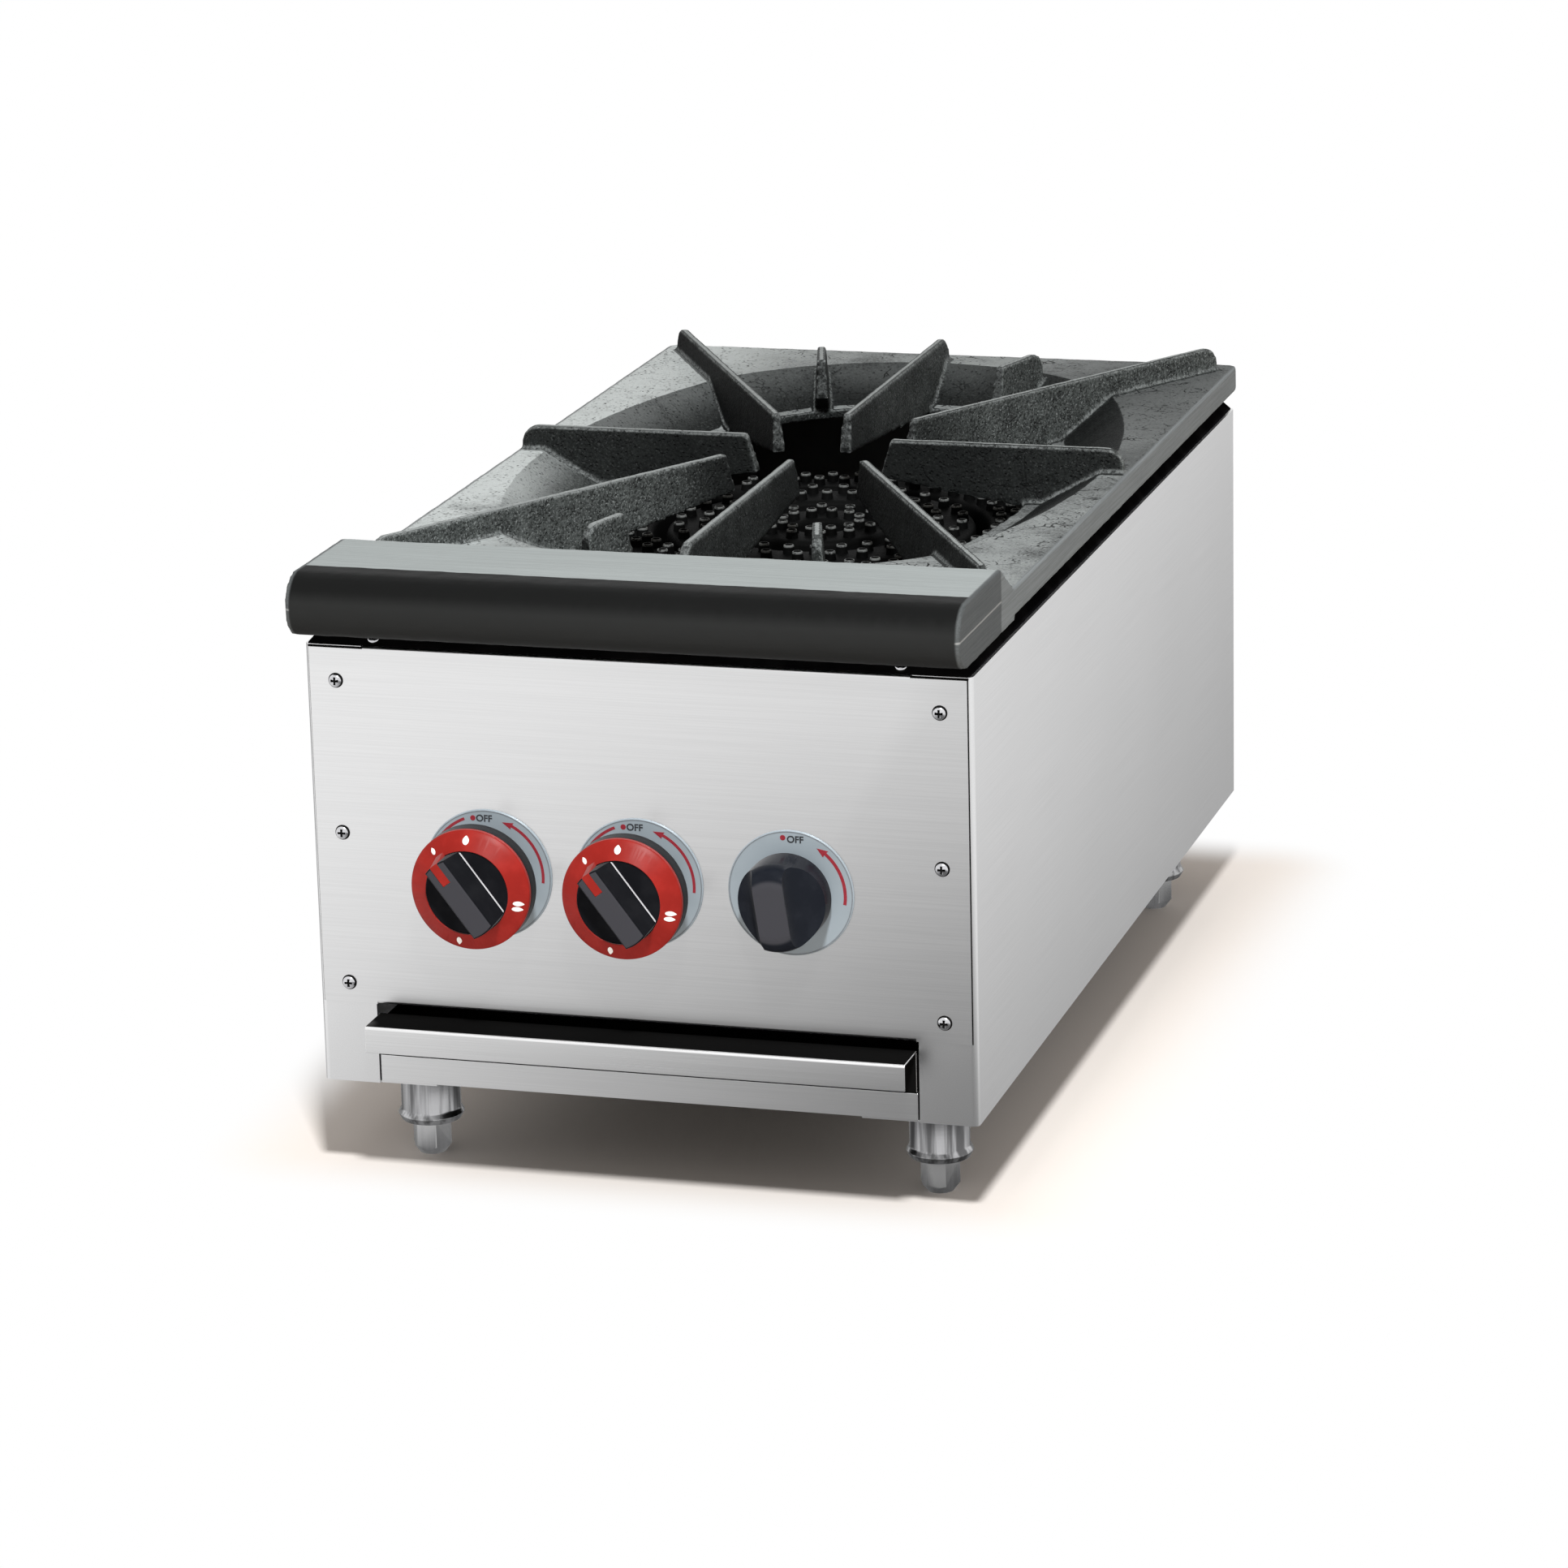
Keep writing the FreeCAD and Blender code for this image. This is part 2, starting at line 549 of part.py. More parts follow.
def top_frame():
    """Frame that carries the grate, open below, its walls leaning in."""
    lean = FRAME_TAPER / FRAME_HEIGHT

    def outline(inset, z):
        step = FRAME_INSET + inset + lean * (z - TOP)
        x = HALF - step
        y0 = FRONT + step
        y1 = BACK - step
        return Part.makePolygon([V(-x, y0, z), V(x, y0, z), V(x, y1, z), V(-x, y1, z), V(-x, y0, z)])

    def block(inset, z0, z1):
        return Part.makeLoft([outline(inset, z0), outline(inset, z1)], True, True)

    roof = FRAME_TOP - FRAME_WALL
    frame = cut(block(0, TOP, FRAME_TOP), block(FRAME_WALL, TOP, roof))
    opening = FRAME_INSET + FRAME_LEG
    return cut(frame, box(opening - HALF, HALF - opening, FRONT + opening, BACK - opening, TOP, FRAME_TOP))


# Star grate

def bowl_outline(inset, z):
    """Four arcs that meet on the diagonals, the bowl's brim moved in by inset."""
    cx = BRIM_CORNER_X - inset * CORNER_SHARE
    back = BRIM_CORNER_BACK - inset * CORNER_SHARE
    front = inset * CORNER_SHARE - BRIM_CORNER_FRONT
    corners = [V(cx, back, z), V(-cx, back, z), V(-cx, front, z), V(cx, front, z)]
    middles = [V(0, BRIM_BACK - inset, z), V(inset - BRIM_X, 0, z), V(0, inset - BRIM_FRONT, z),
               V(BRIM_X - inset, 0, z)]
    arcs = [Part.Arc(corners[k], middles[k], corners[(k + 1) % 4]).toShape() for k in range(4)]
    outline = Part.Wire(arcs)
    outline.translate(V(0, STAR_Y, 0))
    return outline


def pot_fin(tip, end, foot, brim):
    """Drafted fin between plan points from the star's middle; foot and brim are distances from the tip."""
    run = end.sub(tip)
    length = run.Length
    low = LEDGE_TOP - FIN_ROOT
    side = face([(0, FIN_TOP - FIN_TIP_DEPTH), (FIN_TIP_RAKE, FIN_TOP), (length - FIN_END_ROUND, FIN_TOP),
                 (length, FIN_TOP - FIN_END_ROUND, length - FIN_END_ROUND, FIN_TOP - FIN_END_ROUND),
                 (length, PLATE_TOP - FIN_ROOT), (brim, PLATE_TOP - FIN_ROOT), (foot, low)],
                lambda s, z: V(s, -FIN_ROOT_WIDTH, z)).extrude(V(0, 2 * FIN_ROOT_WIDTH, 0))
    top = FIN_TOP_WIDTH / 2
    root = FIN_ROOT_WIDTH / 2
    draft = face([(-top, FIN_TOP), (top, FIN_TOP), (root, low), (-root, low)],
                 lambda t, z: V(-FIN_ROOT, t, z)).extrude(V(length + 2 * FIN_ROOT, 0, 0))
    fin = side.common(draft)
    turn = FreeCAD.Rotation(V(0, 0, 1), math.degrees(math.atan2(run.y, run.x)))
    fin.Placement = FreeCAD.Placement(V(tip.x, STAR_Y + tip.y, 0), turn)
    return fin


def long_fin(t, brim):
    """Fin on the middle line, t being -1 for the front and 1 for the back."""
    return pot_fin(V(0, t * LONG_TIP, 0), V(0, t * (brim + FIN_END_ROUND), 0), brim - BOWL_RUN - LONG_TIP,
                   brim - LONG_TIP)


def corner_fins(s, t):
    """Diagonal fin and short fin of one quarter, s being its side and t -1 for the front, 1 for the back."""
    brim, corner_y = BRIM_BACK, BRIM_CORNER_BACK
    past, short, length = DIAGONAL_BACK_END, SHORT_FIN_BACK_END, SHORT_FIN_BACK
    if t < 0:
        brim, corner_y = BRIM_FRONT, BRIM_CORNER_FRONT
        past, short, length = DIAGONAL_FRONT_END, SHORT_FIN_FRONT_END, SHORT_FIN_FRONT
    tip = V(s * DIAGONAL_TIP_X, t * DIAGONAL_TIP_Y, 0)
    end = V(s * (HALF - DIAGONAL_SIDE_GAP), t * (brim + past), 0)
    to_corner = V(s * BRIM_CORNER_X, t * corner_y, 0).sub(tip).Length
    diagonal = pot_fin(tip, end, to_corner - BOWL_RUN, to_corner)
    lean = math.radians(SHORT_FIN_ANGLE)
    ray = V(s * math.sin(lean), t * math.cos(lean), 0)
    reach = brim * math.cos(lean)
    outer = reach - short
    inner = outer - length
    return [diagonal, pot_fin(V(ray).multiply(inner), V(ray).multiply(outer), reach - BOWL_RUN - inner,
                              length - FIN_ROOT)]


def pot_fins():
    fins = []
    for s in (-1, 1):
        side_end = HALF - FIN_END_GAP
        fins.append(pot_fin(V(s * SIDE_TIP, 0, 0), V(s * side_end, 0, 0), BRIM_X - BOWL_RUN - SIDE_TIP,
                            BRIM_X - SIDE_TIP))
        for t in (-1, 1):
            fins += corner_fins(s, t)
    fins.append(long_fin(1, BRIM_BACK))
    fins.append(long_fin(-1, BRIM_FRONT))
    return fins


def front_nose():
    """Rounded front rail of the casting, hollow from below."""
    upper = GRATE_FRONT + NOSE_UPPER_RADIUS
    lower = GRATE_FRONT + NOSE_LOWER_RADIUS
    upper_z = NOSE_TOP - NOSE_UPPER_RADIUS
    lower_z = FRAME_TOP + NOSE_LOWER_RADIUS
    rail = prism_x([(NOSE_FOOT, FRAME_TOP), (NOSE_FOOT, PLATE_TOP), (NOSE_FLAT_END, NOSE_TOP),
                    (upper, NOSE_TOP),
                    (GRATE_FRONT, upper_z, upper, upper_z), (GRATE_FRONT, lower_z),
                    (lower, FRAME_TOP, lower, lower_z)], -HALF, HALF)
    inside = HALF - SKIRT
    hollow = box(-inside, inside, lower + NOSE_LAND, NOSE_FLAT_END - CASTING_WALL, FRAME_TOP,
                 NOSE_TOP - CASTING_WALL)
    return rail, hollow


def star_grate():
    nose, nose_hollow = front_nose()
    plate = box(-HALF, HALF, NOSE_FLAT_END, GRATE_BACK, FRAME_TOP, PLATE_TOP)
    corners = edges_near(plate, lambda c: c.y > GRATE_BACK - TINY and abs(c.x) > HALF - TINY)
    plate = plate.makeFillet(PLATE_CORNER, corners)
    rim = edges_near(plate, lambda c: c.z < FRAME_TOP + TINY and c.y > NOSE_FLAT_END + TINY)
    plate = plate.makeChamfer(SKIRT_BEVEL, rim)
    inside = HALF - SKIRT
    pocket = box(-inside, inside, NOSE_FLAT_END, GRATE_BACK - SKIRT, FRAME_TOP, PLATE_TOP - CASTING_WALL)
    shell = fuse(nose, plate).cut([nose_hollow, pocket])
    bowl = Part.makeLoft([bowl_outline(-CASTING_WALL, PLATE_TOP),
                          bowl_outline(BOWL_RUN - CASTING_WALL, LEDGE_TOP - LEDGE_THICK)], True, True)
    dish = Part.makeLoft([bowl_outline(0, PLATE_TOP), bowl_outline(BOWL_RUN, LEDGE_TOP)], True, True)
    throat = bowl_outline(BOWL_RUN + LEDGE_WIDTH, LEDGE_TOP - 2 * LEDGE_THICK)
    throat = Part.Face(throat).extrude(V(0, 0, 3 * LEDGE_THICK))
    casting = fuse(shell, bowl).cut([dish, throat])
    return fuse(casting, *pot_fins())


# Burner and its supports

def nipple_rows(ring, count):
    """Two staggered rows of port nipples on a ring."""
    nipples = []
    low = BURNER_TOP - NIPPLE_HEIGHT / 4
    height = NIPPLE_HEIGHT * 5 / 4
    for row, radius in enumerate((ring[0] + NIPPLE_ROW_EDGE, ring[1] - NIPPLE_ROW_EDGE)):
        for k in range(count):
            angle = 2 * math.pi * (k + row / 2) / count
            foot = V(radius * math.cos(angle), STAR_Y + radius * math.sin(angle), low)
            nipples.append(Part.makeCone(NIPPLE_ROOT_RADIUS, NIPPLE_TIP_RADIUS, height, foot))
    return nipples


def plain_ring(ring):
    inner, outer = ring
    low = BURNER_BOTTOM
    edge = BURNER_TOP - RING_EDGE
    return turned_z([(inner, low), (outer, low), (outer, edge), (outer - RING_EDGE, BURNER_TOP),
                     (inner + RING_EDGE, BURNER_TOP), (inner, edge)], 0, STAR_Y)


def burner_spoke(k):
    start = (INNER_RING[0] + INNER_RING[1]) / 2
    end = (MIDDLE_RING[0] + MIDDLE_RING[1]) / 2
    spoke = box(start, end, -SPOKE_WIDTH / 2, SPOKE_WIDTH / 2, BURNER_BOTTOM, BURNER_TOP - SPOKE_DROP)
    spoke.rotate(V(0, 0, 0), V(0, 0, 1), 90 + 360 * k / SPOKE_COUNT)
    spoke.translate(V(0, STAR_Y, 0))
    return spoke


def inner_burner_head():
    spokes = [burner_spoke(k) for k in range(SPOKE_COUNT)]
    nipples = nipple_rows(MIDDLE_RING, MIDDLE_NIPPLES) + nipple_rows(INNER_RING, INNER_NIPPLES)
    return fuse(plain_ring(INNER_RING), plain_ring(MIDDLE_RING), *spokes, *nipples)


def outer_burner_ring():
    return fuse(plain_ring(OUTER_RING), *nipple_rows(OUTER_RING, OUTER_NIPPLES))


def burner_strap(side):
    reach = BAR_REACH + BAR_WIDTH / 2
    half = STRAP_WIDTH / 2
    return side_box(side, STRAP_X - half, STRAP_X + half, STAR_Y - reach, STAR_Y + reach,
                    BURNER_BOTTOM - STRAP_THICK, BURNER_BOTTOM)


def burner_bar(y):
    """Inverted channel from side panel to side panel."""
    top = BURNER_BOTTOM - STRAP_THICK
    low = top - BAR_HEIGHT
    y0 = y - BAR_WIDTH / 2
    y1 = y + BAR_WIDTH / 2
    half = HALF - SHEET
    roof = top - BAR_WALL
    return prism_x([(y0, low), (y0, top), (y1, top), (y1, low), (y1 - BAR_WALL, low), (y1 - BAR_WALL, roof),
                    (y0 + BAR_WALL, roof), (y0 + BAR_WALL, low)], -half, half)


# Gas line

def ring_foot(ring, x):
    """Y of the front of a ring's middle circle at x."""
    middle = (ring[0] + ring[1]) / 2
    return STAR_Y - math.sqrt(middle ** 2 - x ** 2)


def windows(x, y0, y1):
    holes = []
    for k in range(WINDOW_COUNT):
        angle = 2 * math.pi * k / WINDOW_COUNT
        hx = x + WINDOW_CIRCLE * math.cos(angle)
        hz = KNOB_Z + WINDOW_CIRCLE * math.sin(angle)
        holes.append(rod(WINDOW_RADIUS, V(hx, y0, hz), V(hx, y1, hz)))
    return holes


def mixer_path(x, riser_y, shrink, mouth):
    """Solid of the mixer from its mouth to the burner, thinner by shrink."""
    bell = mouth + BELL_LENGTH
    throat = bell + THROAT_LENGTH
    wide = throat + DIFFUSER_LENGTH
    bend = riser_y - ELBOW_RADIUS
    narrow = THROAT_RADIUS - shrink
    full = MIXER_RADIUS - shrink
    tube = turned_y([(0, mouth), (MOUTH_RADIUS - shrink, mouth), (narrow, bell), (narrow, throat),
                     (full, wide), (full, bend), (0, bend)], x, KNOB_Z)
    disc = Part.Face(Part.Wire(Part.makeCircle(full, V(x, bend, KNOB_Z), V(0, 1, 0))))
    elbow = disc.revolve(V(x, bend, KNOB_Z + ELBOW_RADIUS), V(1, 0, 0), 90)
    riser = rod(full, V(x, riser_y, KNOB_Z + ELBOW_RADIUS), V(x, riser_y, BURNER_BOTTOM))
    return fuse(tube, elbow, riser)


def mixer_tube(x, ring):
    riser_y = ring_foot(ring, x)
    y0 = MIXER_MOUTH
    y1 = y0 + MOUTH_PLATE
    body = mixer_path(x, riser_y, 0, y0)
    bore = mixer_path(x, riser_y, MIXER_WALL, y1)
    neck = rod(INJECTOR_NECK_RADIUS + STEM_FIT, V(x, y0, KNOB_Z), V(x, y1, KNOB_Z))
    return cut(body, bore, neck, *windows(x, y0, y1))


def injector(x):
    collar = MIXER_MOUTH - 2 * SHUTTER_GAP - SHUTTER_THICK
    neck_end = MIXER_MOUTH + INJECTOR_REACH
    nut = hexagon(INJECTOR_HEX, V(x, VALVE_BACK, KNOB_Z), V(x, INJECTOR_HEX_END, KNOB_Z))
    neck = rod(INJECTOR_NECK_RADIUS, V(x, INJECTOR_HEX_END, KNOB_Z), V(x, neck_end, KNOB_Z))
    stop = rod(INJECTOR_COLLAR_RADIUS, V(x, collar - INJECTOR_COLLAR, KNOB_Z), V(x, collar, KNOB_Z))
    return fuse(nut, neck, stop)


def air_shutter(x):
    y1 = MIXER_MOUTH - SHUTTER_GAP
    y0 = y1 - SHUTTER_THICK
    disc = rod(MOUTH_RADIUS, V(x, y0, KNOB_Z), V(x, y1, KNOB_Z))
    half = SHUTTER_TAB / 2
    tab = box(x - half, x + half, y0, y1, KNOB_Z, KNOB_Z + MOUTH_RADIUS + SHUTTER_TAB)
    bore = rod(INJECTOR_NECK_RADIUS + STEM_FIT, V(x, y0, KNOB_Z), V(x, y1, KNOB_Z))
    return cut(fuse(disc, tab), bore, *windows(x, y0, y1))


def gas_valve(x):
    y0 = VALVE_FRONT
    y1 = VALVE_BODY_FRONT
    y2 = VALVE_BODY_BACK
    body = turned_y([(0, y0), (VALVE_NECK_RADIUS, y0), (VALVE_NECK_RADIUS, y1), (VALVE_BODY_RADIUS, y1),
                     (VALVE_BODY_RADIUS, y2), (VALVE_OUTLET_RADIUS, y2), (VALVE_OUTLET_RADIUS, VALVE_BACK),
                     (0, VALVE_BACK)], x, KNOB_Z)
    inlet = rod(VALVE_INLET_RADIUS, V(x, MANIFOLD_Y, MANIFOLD_Z), V(x, MANIFOLD_Y, KNOB_Z))
    bore_end = FRONT + STEM_END + KNOB_PUSH + STEM_ROOM
    bore = rod(STEM_RADIUS + STEM_FIT, V(x, y0, KNOB_Z), V(x, bore_end, KNOB_Z))
    ends = (V(x - PIPE_RADIUS, MANIFOLD_Y, MANIFOLD_Z), V(x + PIPE_RADIUS, MANIFOLD_Y, MANIFOLD_Z))
    pipe = rod(PIPE_RADIUS, *ends)
    return cut(fuse(body, inlet), bore, pipe)


def gas_manifold():
    left = KNOB_XS[0] - MANIFOLD_END
    right = KNOB_XS[2] + SUPPLY_START
    pipe = rod(PIPE_RADIUS, V(left, MANIFOLD_Y, MANIFOLD_Z), V(right, MANIFOLD_Y, MANIFOLD_Z))
    bore = rod(PIPE_RADIUS - PIPE_WALL, V(left, MANIFOLD_Y, MANIFOLD_Z), V(right, MANIFOLD_Y, MANIFOLD_Z))
    cap = hexagon(PIPE_RADIUS + PIPE_WALL, V(left - MANIFOLD_CAP, MANIFOLD_Y, MANIFOLD_Z),
                  V(left, MANIFOLD_Y, MANIFOLD_Z))
    return fuse(pipe.cut(bore), cap)


def supply_run(radius):
    start = V(KNOB_XS[2] + SUPPLY_START, MANIFOLD_Y, MANIFOLD_Z)
    disc = Part.Face(Part.Wire(Part.makeCircle(radius, start, V(1, 0, 0))))
    bend = disc.revolve(start.add(V(0, SUPPLY_BEND, 0)), V(0, 0, 1), 90)
    turn = V(SUPPLY_X, MANIFOLD_Y + SUPPLY_BEND, MANIFOLD_Z)
    run = rod(radius, turn, V(SUPPLY_X, BACK - SUPPLY_END, MANIFOLD_Z))
    return fuse(bend, run)


def inlet_fitting():
    y0 = BACK - SUPPLY_END
    y1 = BACK - 2 * SHEET
    end = GRATE_BACK
    shoulder = end - INLET_THREAD
    flange = y1 - INLET_FLANGE
    return turned_y([(0, y0), (INLET_SLEEVE_RADIUS, y0), (INLET_SLEEVE_RADIUS, flange),
                     (INLET_FLANGE_RADIUS, flange), (INLET_FLANGE_RADIUS, y1), (INLET_BODY_RADIUS, y1),
                     (INLET_BODY_RADIUS, shoulder), (INLET_THREAD_RADIUS, shoulder),
                     (INLET_THREAD_RADIUS, end), (0, end)], SUPPLY_X, MANIFOLD_Z)


def pilot_tube():
    x = KNOB_XS[2]
    bend = PILOT_Y - PILOT_BEND
    run = rod(PILOT_TUBE_RADIUS, V(x, VALVE_BACK, KNOB_Z), V(x, bend, KNOB_Z))
    disc = Part.Face(Part.Wire(Part.makeCircle(PILOT_TUBE_RADIUS, V(x, bend, KNOB_Z), V(0, 1, 0))))
    elbow = disc.revolve(V(x, bend, KNOB_Z + PILOT_BEND), V(1, 0, 0), 90)
    nozzle_low = PILOT_TOP - PILOT_HEIGHT
    rise = rod(PILOT_TUBE_RADIUS, V(x, PILOT_Y, KNOB_Z + PILOT_BEND), V(x, PILOT_Y, nozzle_low))
    return fuse(run, elbow, rise)


def pilot_burner():
    """Pilot nozzle with the bracket that ties it to the front burner bar."""
    x = KNOB_XS[2]
    y = PILOT_Y
    low = PILOT_TOP - PILOT_HEIGHT
    nozzle = turned_z([(0, low), (PILOT_RADIUS, low), (PILOT_RADIUS, PILOT_TOP - PILOT_RADIUS),
                       (PILOT_RADIUS / 2, PILOT_TOP), (0, PILOT_TOP)], x, y)
    bar_back = STAR_Y - BAR_REACH + BAR_WIDTH / 2
    strap_top = BURNER_BOTTOM
    half = PILOT_BRACKET / 2
    strip = box(x - half, x + half, bar_back - BAR_WIDTH / 2, y + half, strap_top - STRAP_THICK, strap_top)
    hole = rod(PILOT_TUBE_RADIUS + HOLE_CLEARANCE, V(x, y, strap_top - STRAP_THICK), V(x, y, strap_top))
    return fuse(nozzle, strip.cut(hole))


# Dials and knobs, each with its axis along Y

def dial(x, radius):
    y0 = FRONT - DIAL_THICK
    return turned_y([(DIAL_HOLE, FRONT), (DIAL_HOLE, y0), (radius - DIAL_EDGE, y0), (radius, y0 + DIAL_EDGE),
                     (radius, FRONT)], x, KNOB_Z)


def placed_knob(shape, x, turn):
    """Knob modelled upright about the Y axis, turned left by turn and set at its valve."""
    shape.rotate(V(0, 0, 0), V(0, 1, 0), -turn)
    shape.translate(V(x, FRONT, KNOB_Z))
    return shape


def socket():
    return rod(STEM_SHOULDER_RADIUS + STEM_FIT, V(0, -KNOB_REAR - SOCKET_DEPTH, 0), V(0, -KNOB_REAR, 0))


def ring_section(front):
    """Sloping section of the red ring, its inner front edge on the plane y = front."""
    slope = front + KNOB_RING_SLOPE
    edge = KNOB_RING_THICK / 3
    return [(KNOB_FACE_RADIUS, front + KNOB_RING_THICK), (KNOB_FACE_RADIUS, front),
            (KNOB_RADIUS - edge, slope - edge), (KNOB_RADIUS, slope), (KNOB_RADIUS, slope + KNOB_RING_THICK)]


def pointer():
    root = KNOB_RING_THICK - KNOB_RING_FRONT + KNOB_FACE_SINK
    tip = -KNOB_PROJECTION
    outer = turned_y([(0, tip), (WING_RADIUS, tip), (POINTER_OUTER, root), (0, root)], 0, 0)
    half = POINTER_WIDTH / 2
    return outer.common(box(-half, half, -2 * KNOB_RING_FRONT, 0, POINTER_INNER, POINTER_OUTER))


def knob_ring(x):
    ring = turned_y(ring_section(-KNOB_RING_FRONT), 0, 0)
    return placed_knob(fuse(ring, pointer()), x, MAIN_KNOB_TURN)


def knob_grip(x):
    seat = KNOB_RING_THICK - KNOB_RING_FRONT
    rim = seat + KNOB_RING_SLOPE
    crown = KNOB_FACE_SINK - KNOB_RING_FRONT
    body = turned_y([(0, crown), (KNOB_FACE_RADIUS, crown), (KNOB_FACE_RADIUS, seat), (KNOB_RADIUS, rim),
                     (KNOB_RADIUS, rim + KNOB_RIM), (KNOB_HUB_RADIUS, -KNOB_REAR), (0, -KNOB_REAR)], 0, 0)
    tip = -KNOB_PROJECTION
    half = WING_WIDTH / 2
    foot = WING_FOOT / 2
    root = crown + KNOB_RIM
    wing = prism_z([(-half, tip), (half, tip), (foot, crown), (foot, root), (-foot, root), (-foot, crown)],
                   -WING_RADIUS, WING_RADIUS)
    wing = rod(WING_RADIUS, V(0, tip, 0), V(0, root, 0)).common(wing)
    wing = wing.makeFillet(WING_EDGE, edges_near(wing, lambda c: c.y < tip + TINY))
    clear_ring = turned_y(ring_section(-KNOB_RING_FRONT), 0, 0)
    return placed_knob(cut(fuse(body, wing), clear_ring, pointer(), socket()), x, MAIN_KNOB_TURN)


def pilot_grip(x):
    """Domed knob with a wing left between two scooped sides."""
    front = -PILOT_KNOB_FRONT
    rim = -KNOB_REAR - PILOT_KNOB_RIM
    dome = PILOT_KNOB_RADIUS - PILOT_KNOB_FACE
    body = turned_y([(0, front), (PILOT_KNOB_FACE, front),
                     (PILOT_KNOB_RADIUS, front + dome, PILOT_KNOB_FACE, front + dome),
                     (PILOT_KNOB_RADIUS, rim), (PILOT_KNOB_RADIUS, -KNOB_REAR), (0, -KNOB_REAR)], 0, 0)
    scoops = []
    for s in (-1, 1):
        sx = s * (PILOT_WING_WIDTH / 2 + SCOOP_RADIUS)
        sy = -SCOOP_FLOOR - SCOOP_RADIUS
        scoops.append(rod(SCOOP_RADIUS, V(sx, sy, -PILOT_KNOB_RADIUS), V(sx, sy, PILOT_KNOB_RADIUS)))
    return placed_knob(cut(body, socket(), *scoops), x, PILOT_KNOB_TURN)


def knob_stem(x):
    shoulder = -COLLAR_FRONT - COLLAR_GAP
    tip = -KNOB_REAR - SOCKET_DEPTH
    stem = turned_y([(0, tip), (STEM_SHOULDER_RADIUS, tip), (STEM_SHOULDER_RADIUS, shoulder),
                     (STEM_RADIUS, shoulder), (STEM_RADIUS, STEM_END), (0, STEM_END)], 0, 0)
    return placed_knob(stem, x, 0)


def stem_collar(x):
    """Ring that the stem turns in and carries along when the knob is pushed."""
    back = COLLAR_LENGTH - COLLAR_FRONT
    return placed_knob(turned_y([(STEM_RADIUS + STEM_FIT, -COLLAR_FRONT), (COLLAR_RADIUS, -COLLAR_FRONT),
                                 (COLLAR_RADIUS, back), (STEM_RADIUS + STEM_FIT, back)], 0, 0), x, 0)


# Legs

def leg(x, y):
    low = FOOT_VISIBLE + FOOT_GAP
    ring_top = low + LEG_COLLAR
    ring_mid = low + LEG_COLLAR / 2
    bore = FOOT_STUD_RADIUS + STUD_FIT
    pad = BASE - LEG_PAD
    bolt_top = BASE + SHEET + LEG_BOLT
    tube = turned_z([(bore, low), (LEG_RADIUS, low), (LEG_COLLAR_RADIUS, ring_mid), (LEG_RADIUS, ring_top),
                     (LEG_RADIUS, pad), (LEG_PAD_RADIUS, pad), (LEG_PAD_RADIUS, BASE),
                     (LEG_BOLT_RADIUS, BASE), (LEG_BOLT_RADIUS, bolt_top), (0, bolt_top), (0, STUD_BORE_TOP),
                     (bore, STUD_BORE_TOP)], x, y)
    nut = hexagon(LEG_NUT_FLAT, V(x, y, BASE + SHEET), V(x, y, BASE + SHEET + LEG_NUT))
    return fuse(tube, nut)


def levelling_foot(x, y):
    """Hexagonal foot with a rounded end on a stud that screws into the leg."""
    bar = hexagon(FOOT_FLAT, V(x, y, 0), V(x, y, FOOT_VISIBLE))
    corner = FOOT_FLAT / math.cos(math.pi / 6)
    round_up = math.sqrt(FOOT_NOSE_RADIUS ** 2 - (FOOT_NOSE_RADIUS - corner + FOOT_SOLE_RADIUS) ** 2) / 2
    envelope = turned_z([(0, 0), (FOOT_SOLE_RADIUS, 0), (corner, round_up), (corner, FOOT_VISIBLE),
                         (0, FOOT_VISIBLE)], x, y)
    stud = rod(FOOT_STUD_RADIUS, V(x, y, FOOT_VISIBLE), V(x, y, STUD_BORE_TOP - STUD_ROOM))
    return fuse(bar.common(envelope), stud)


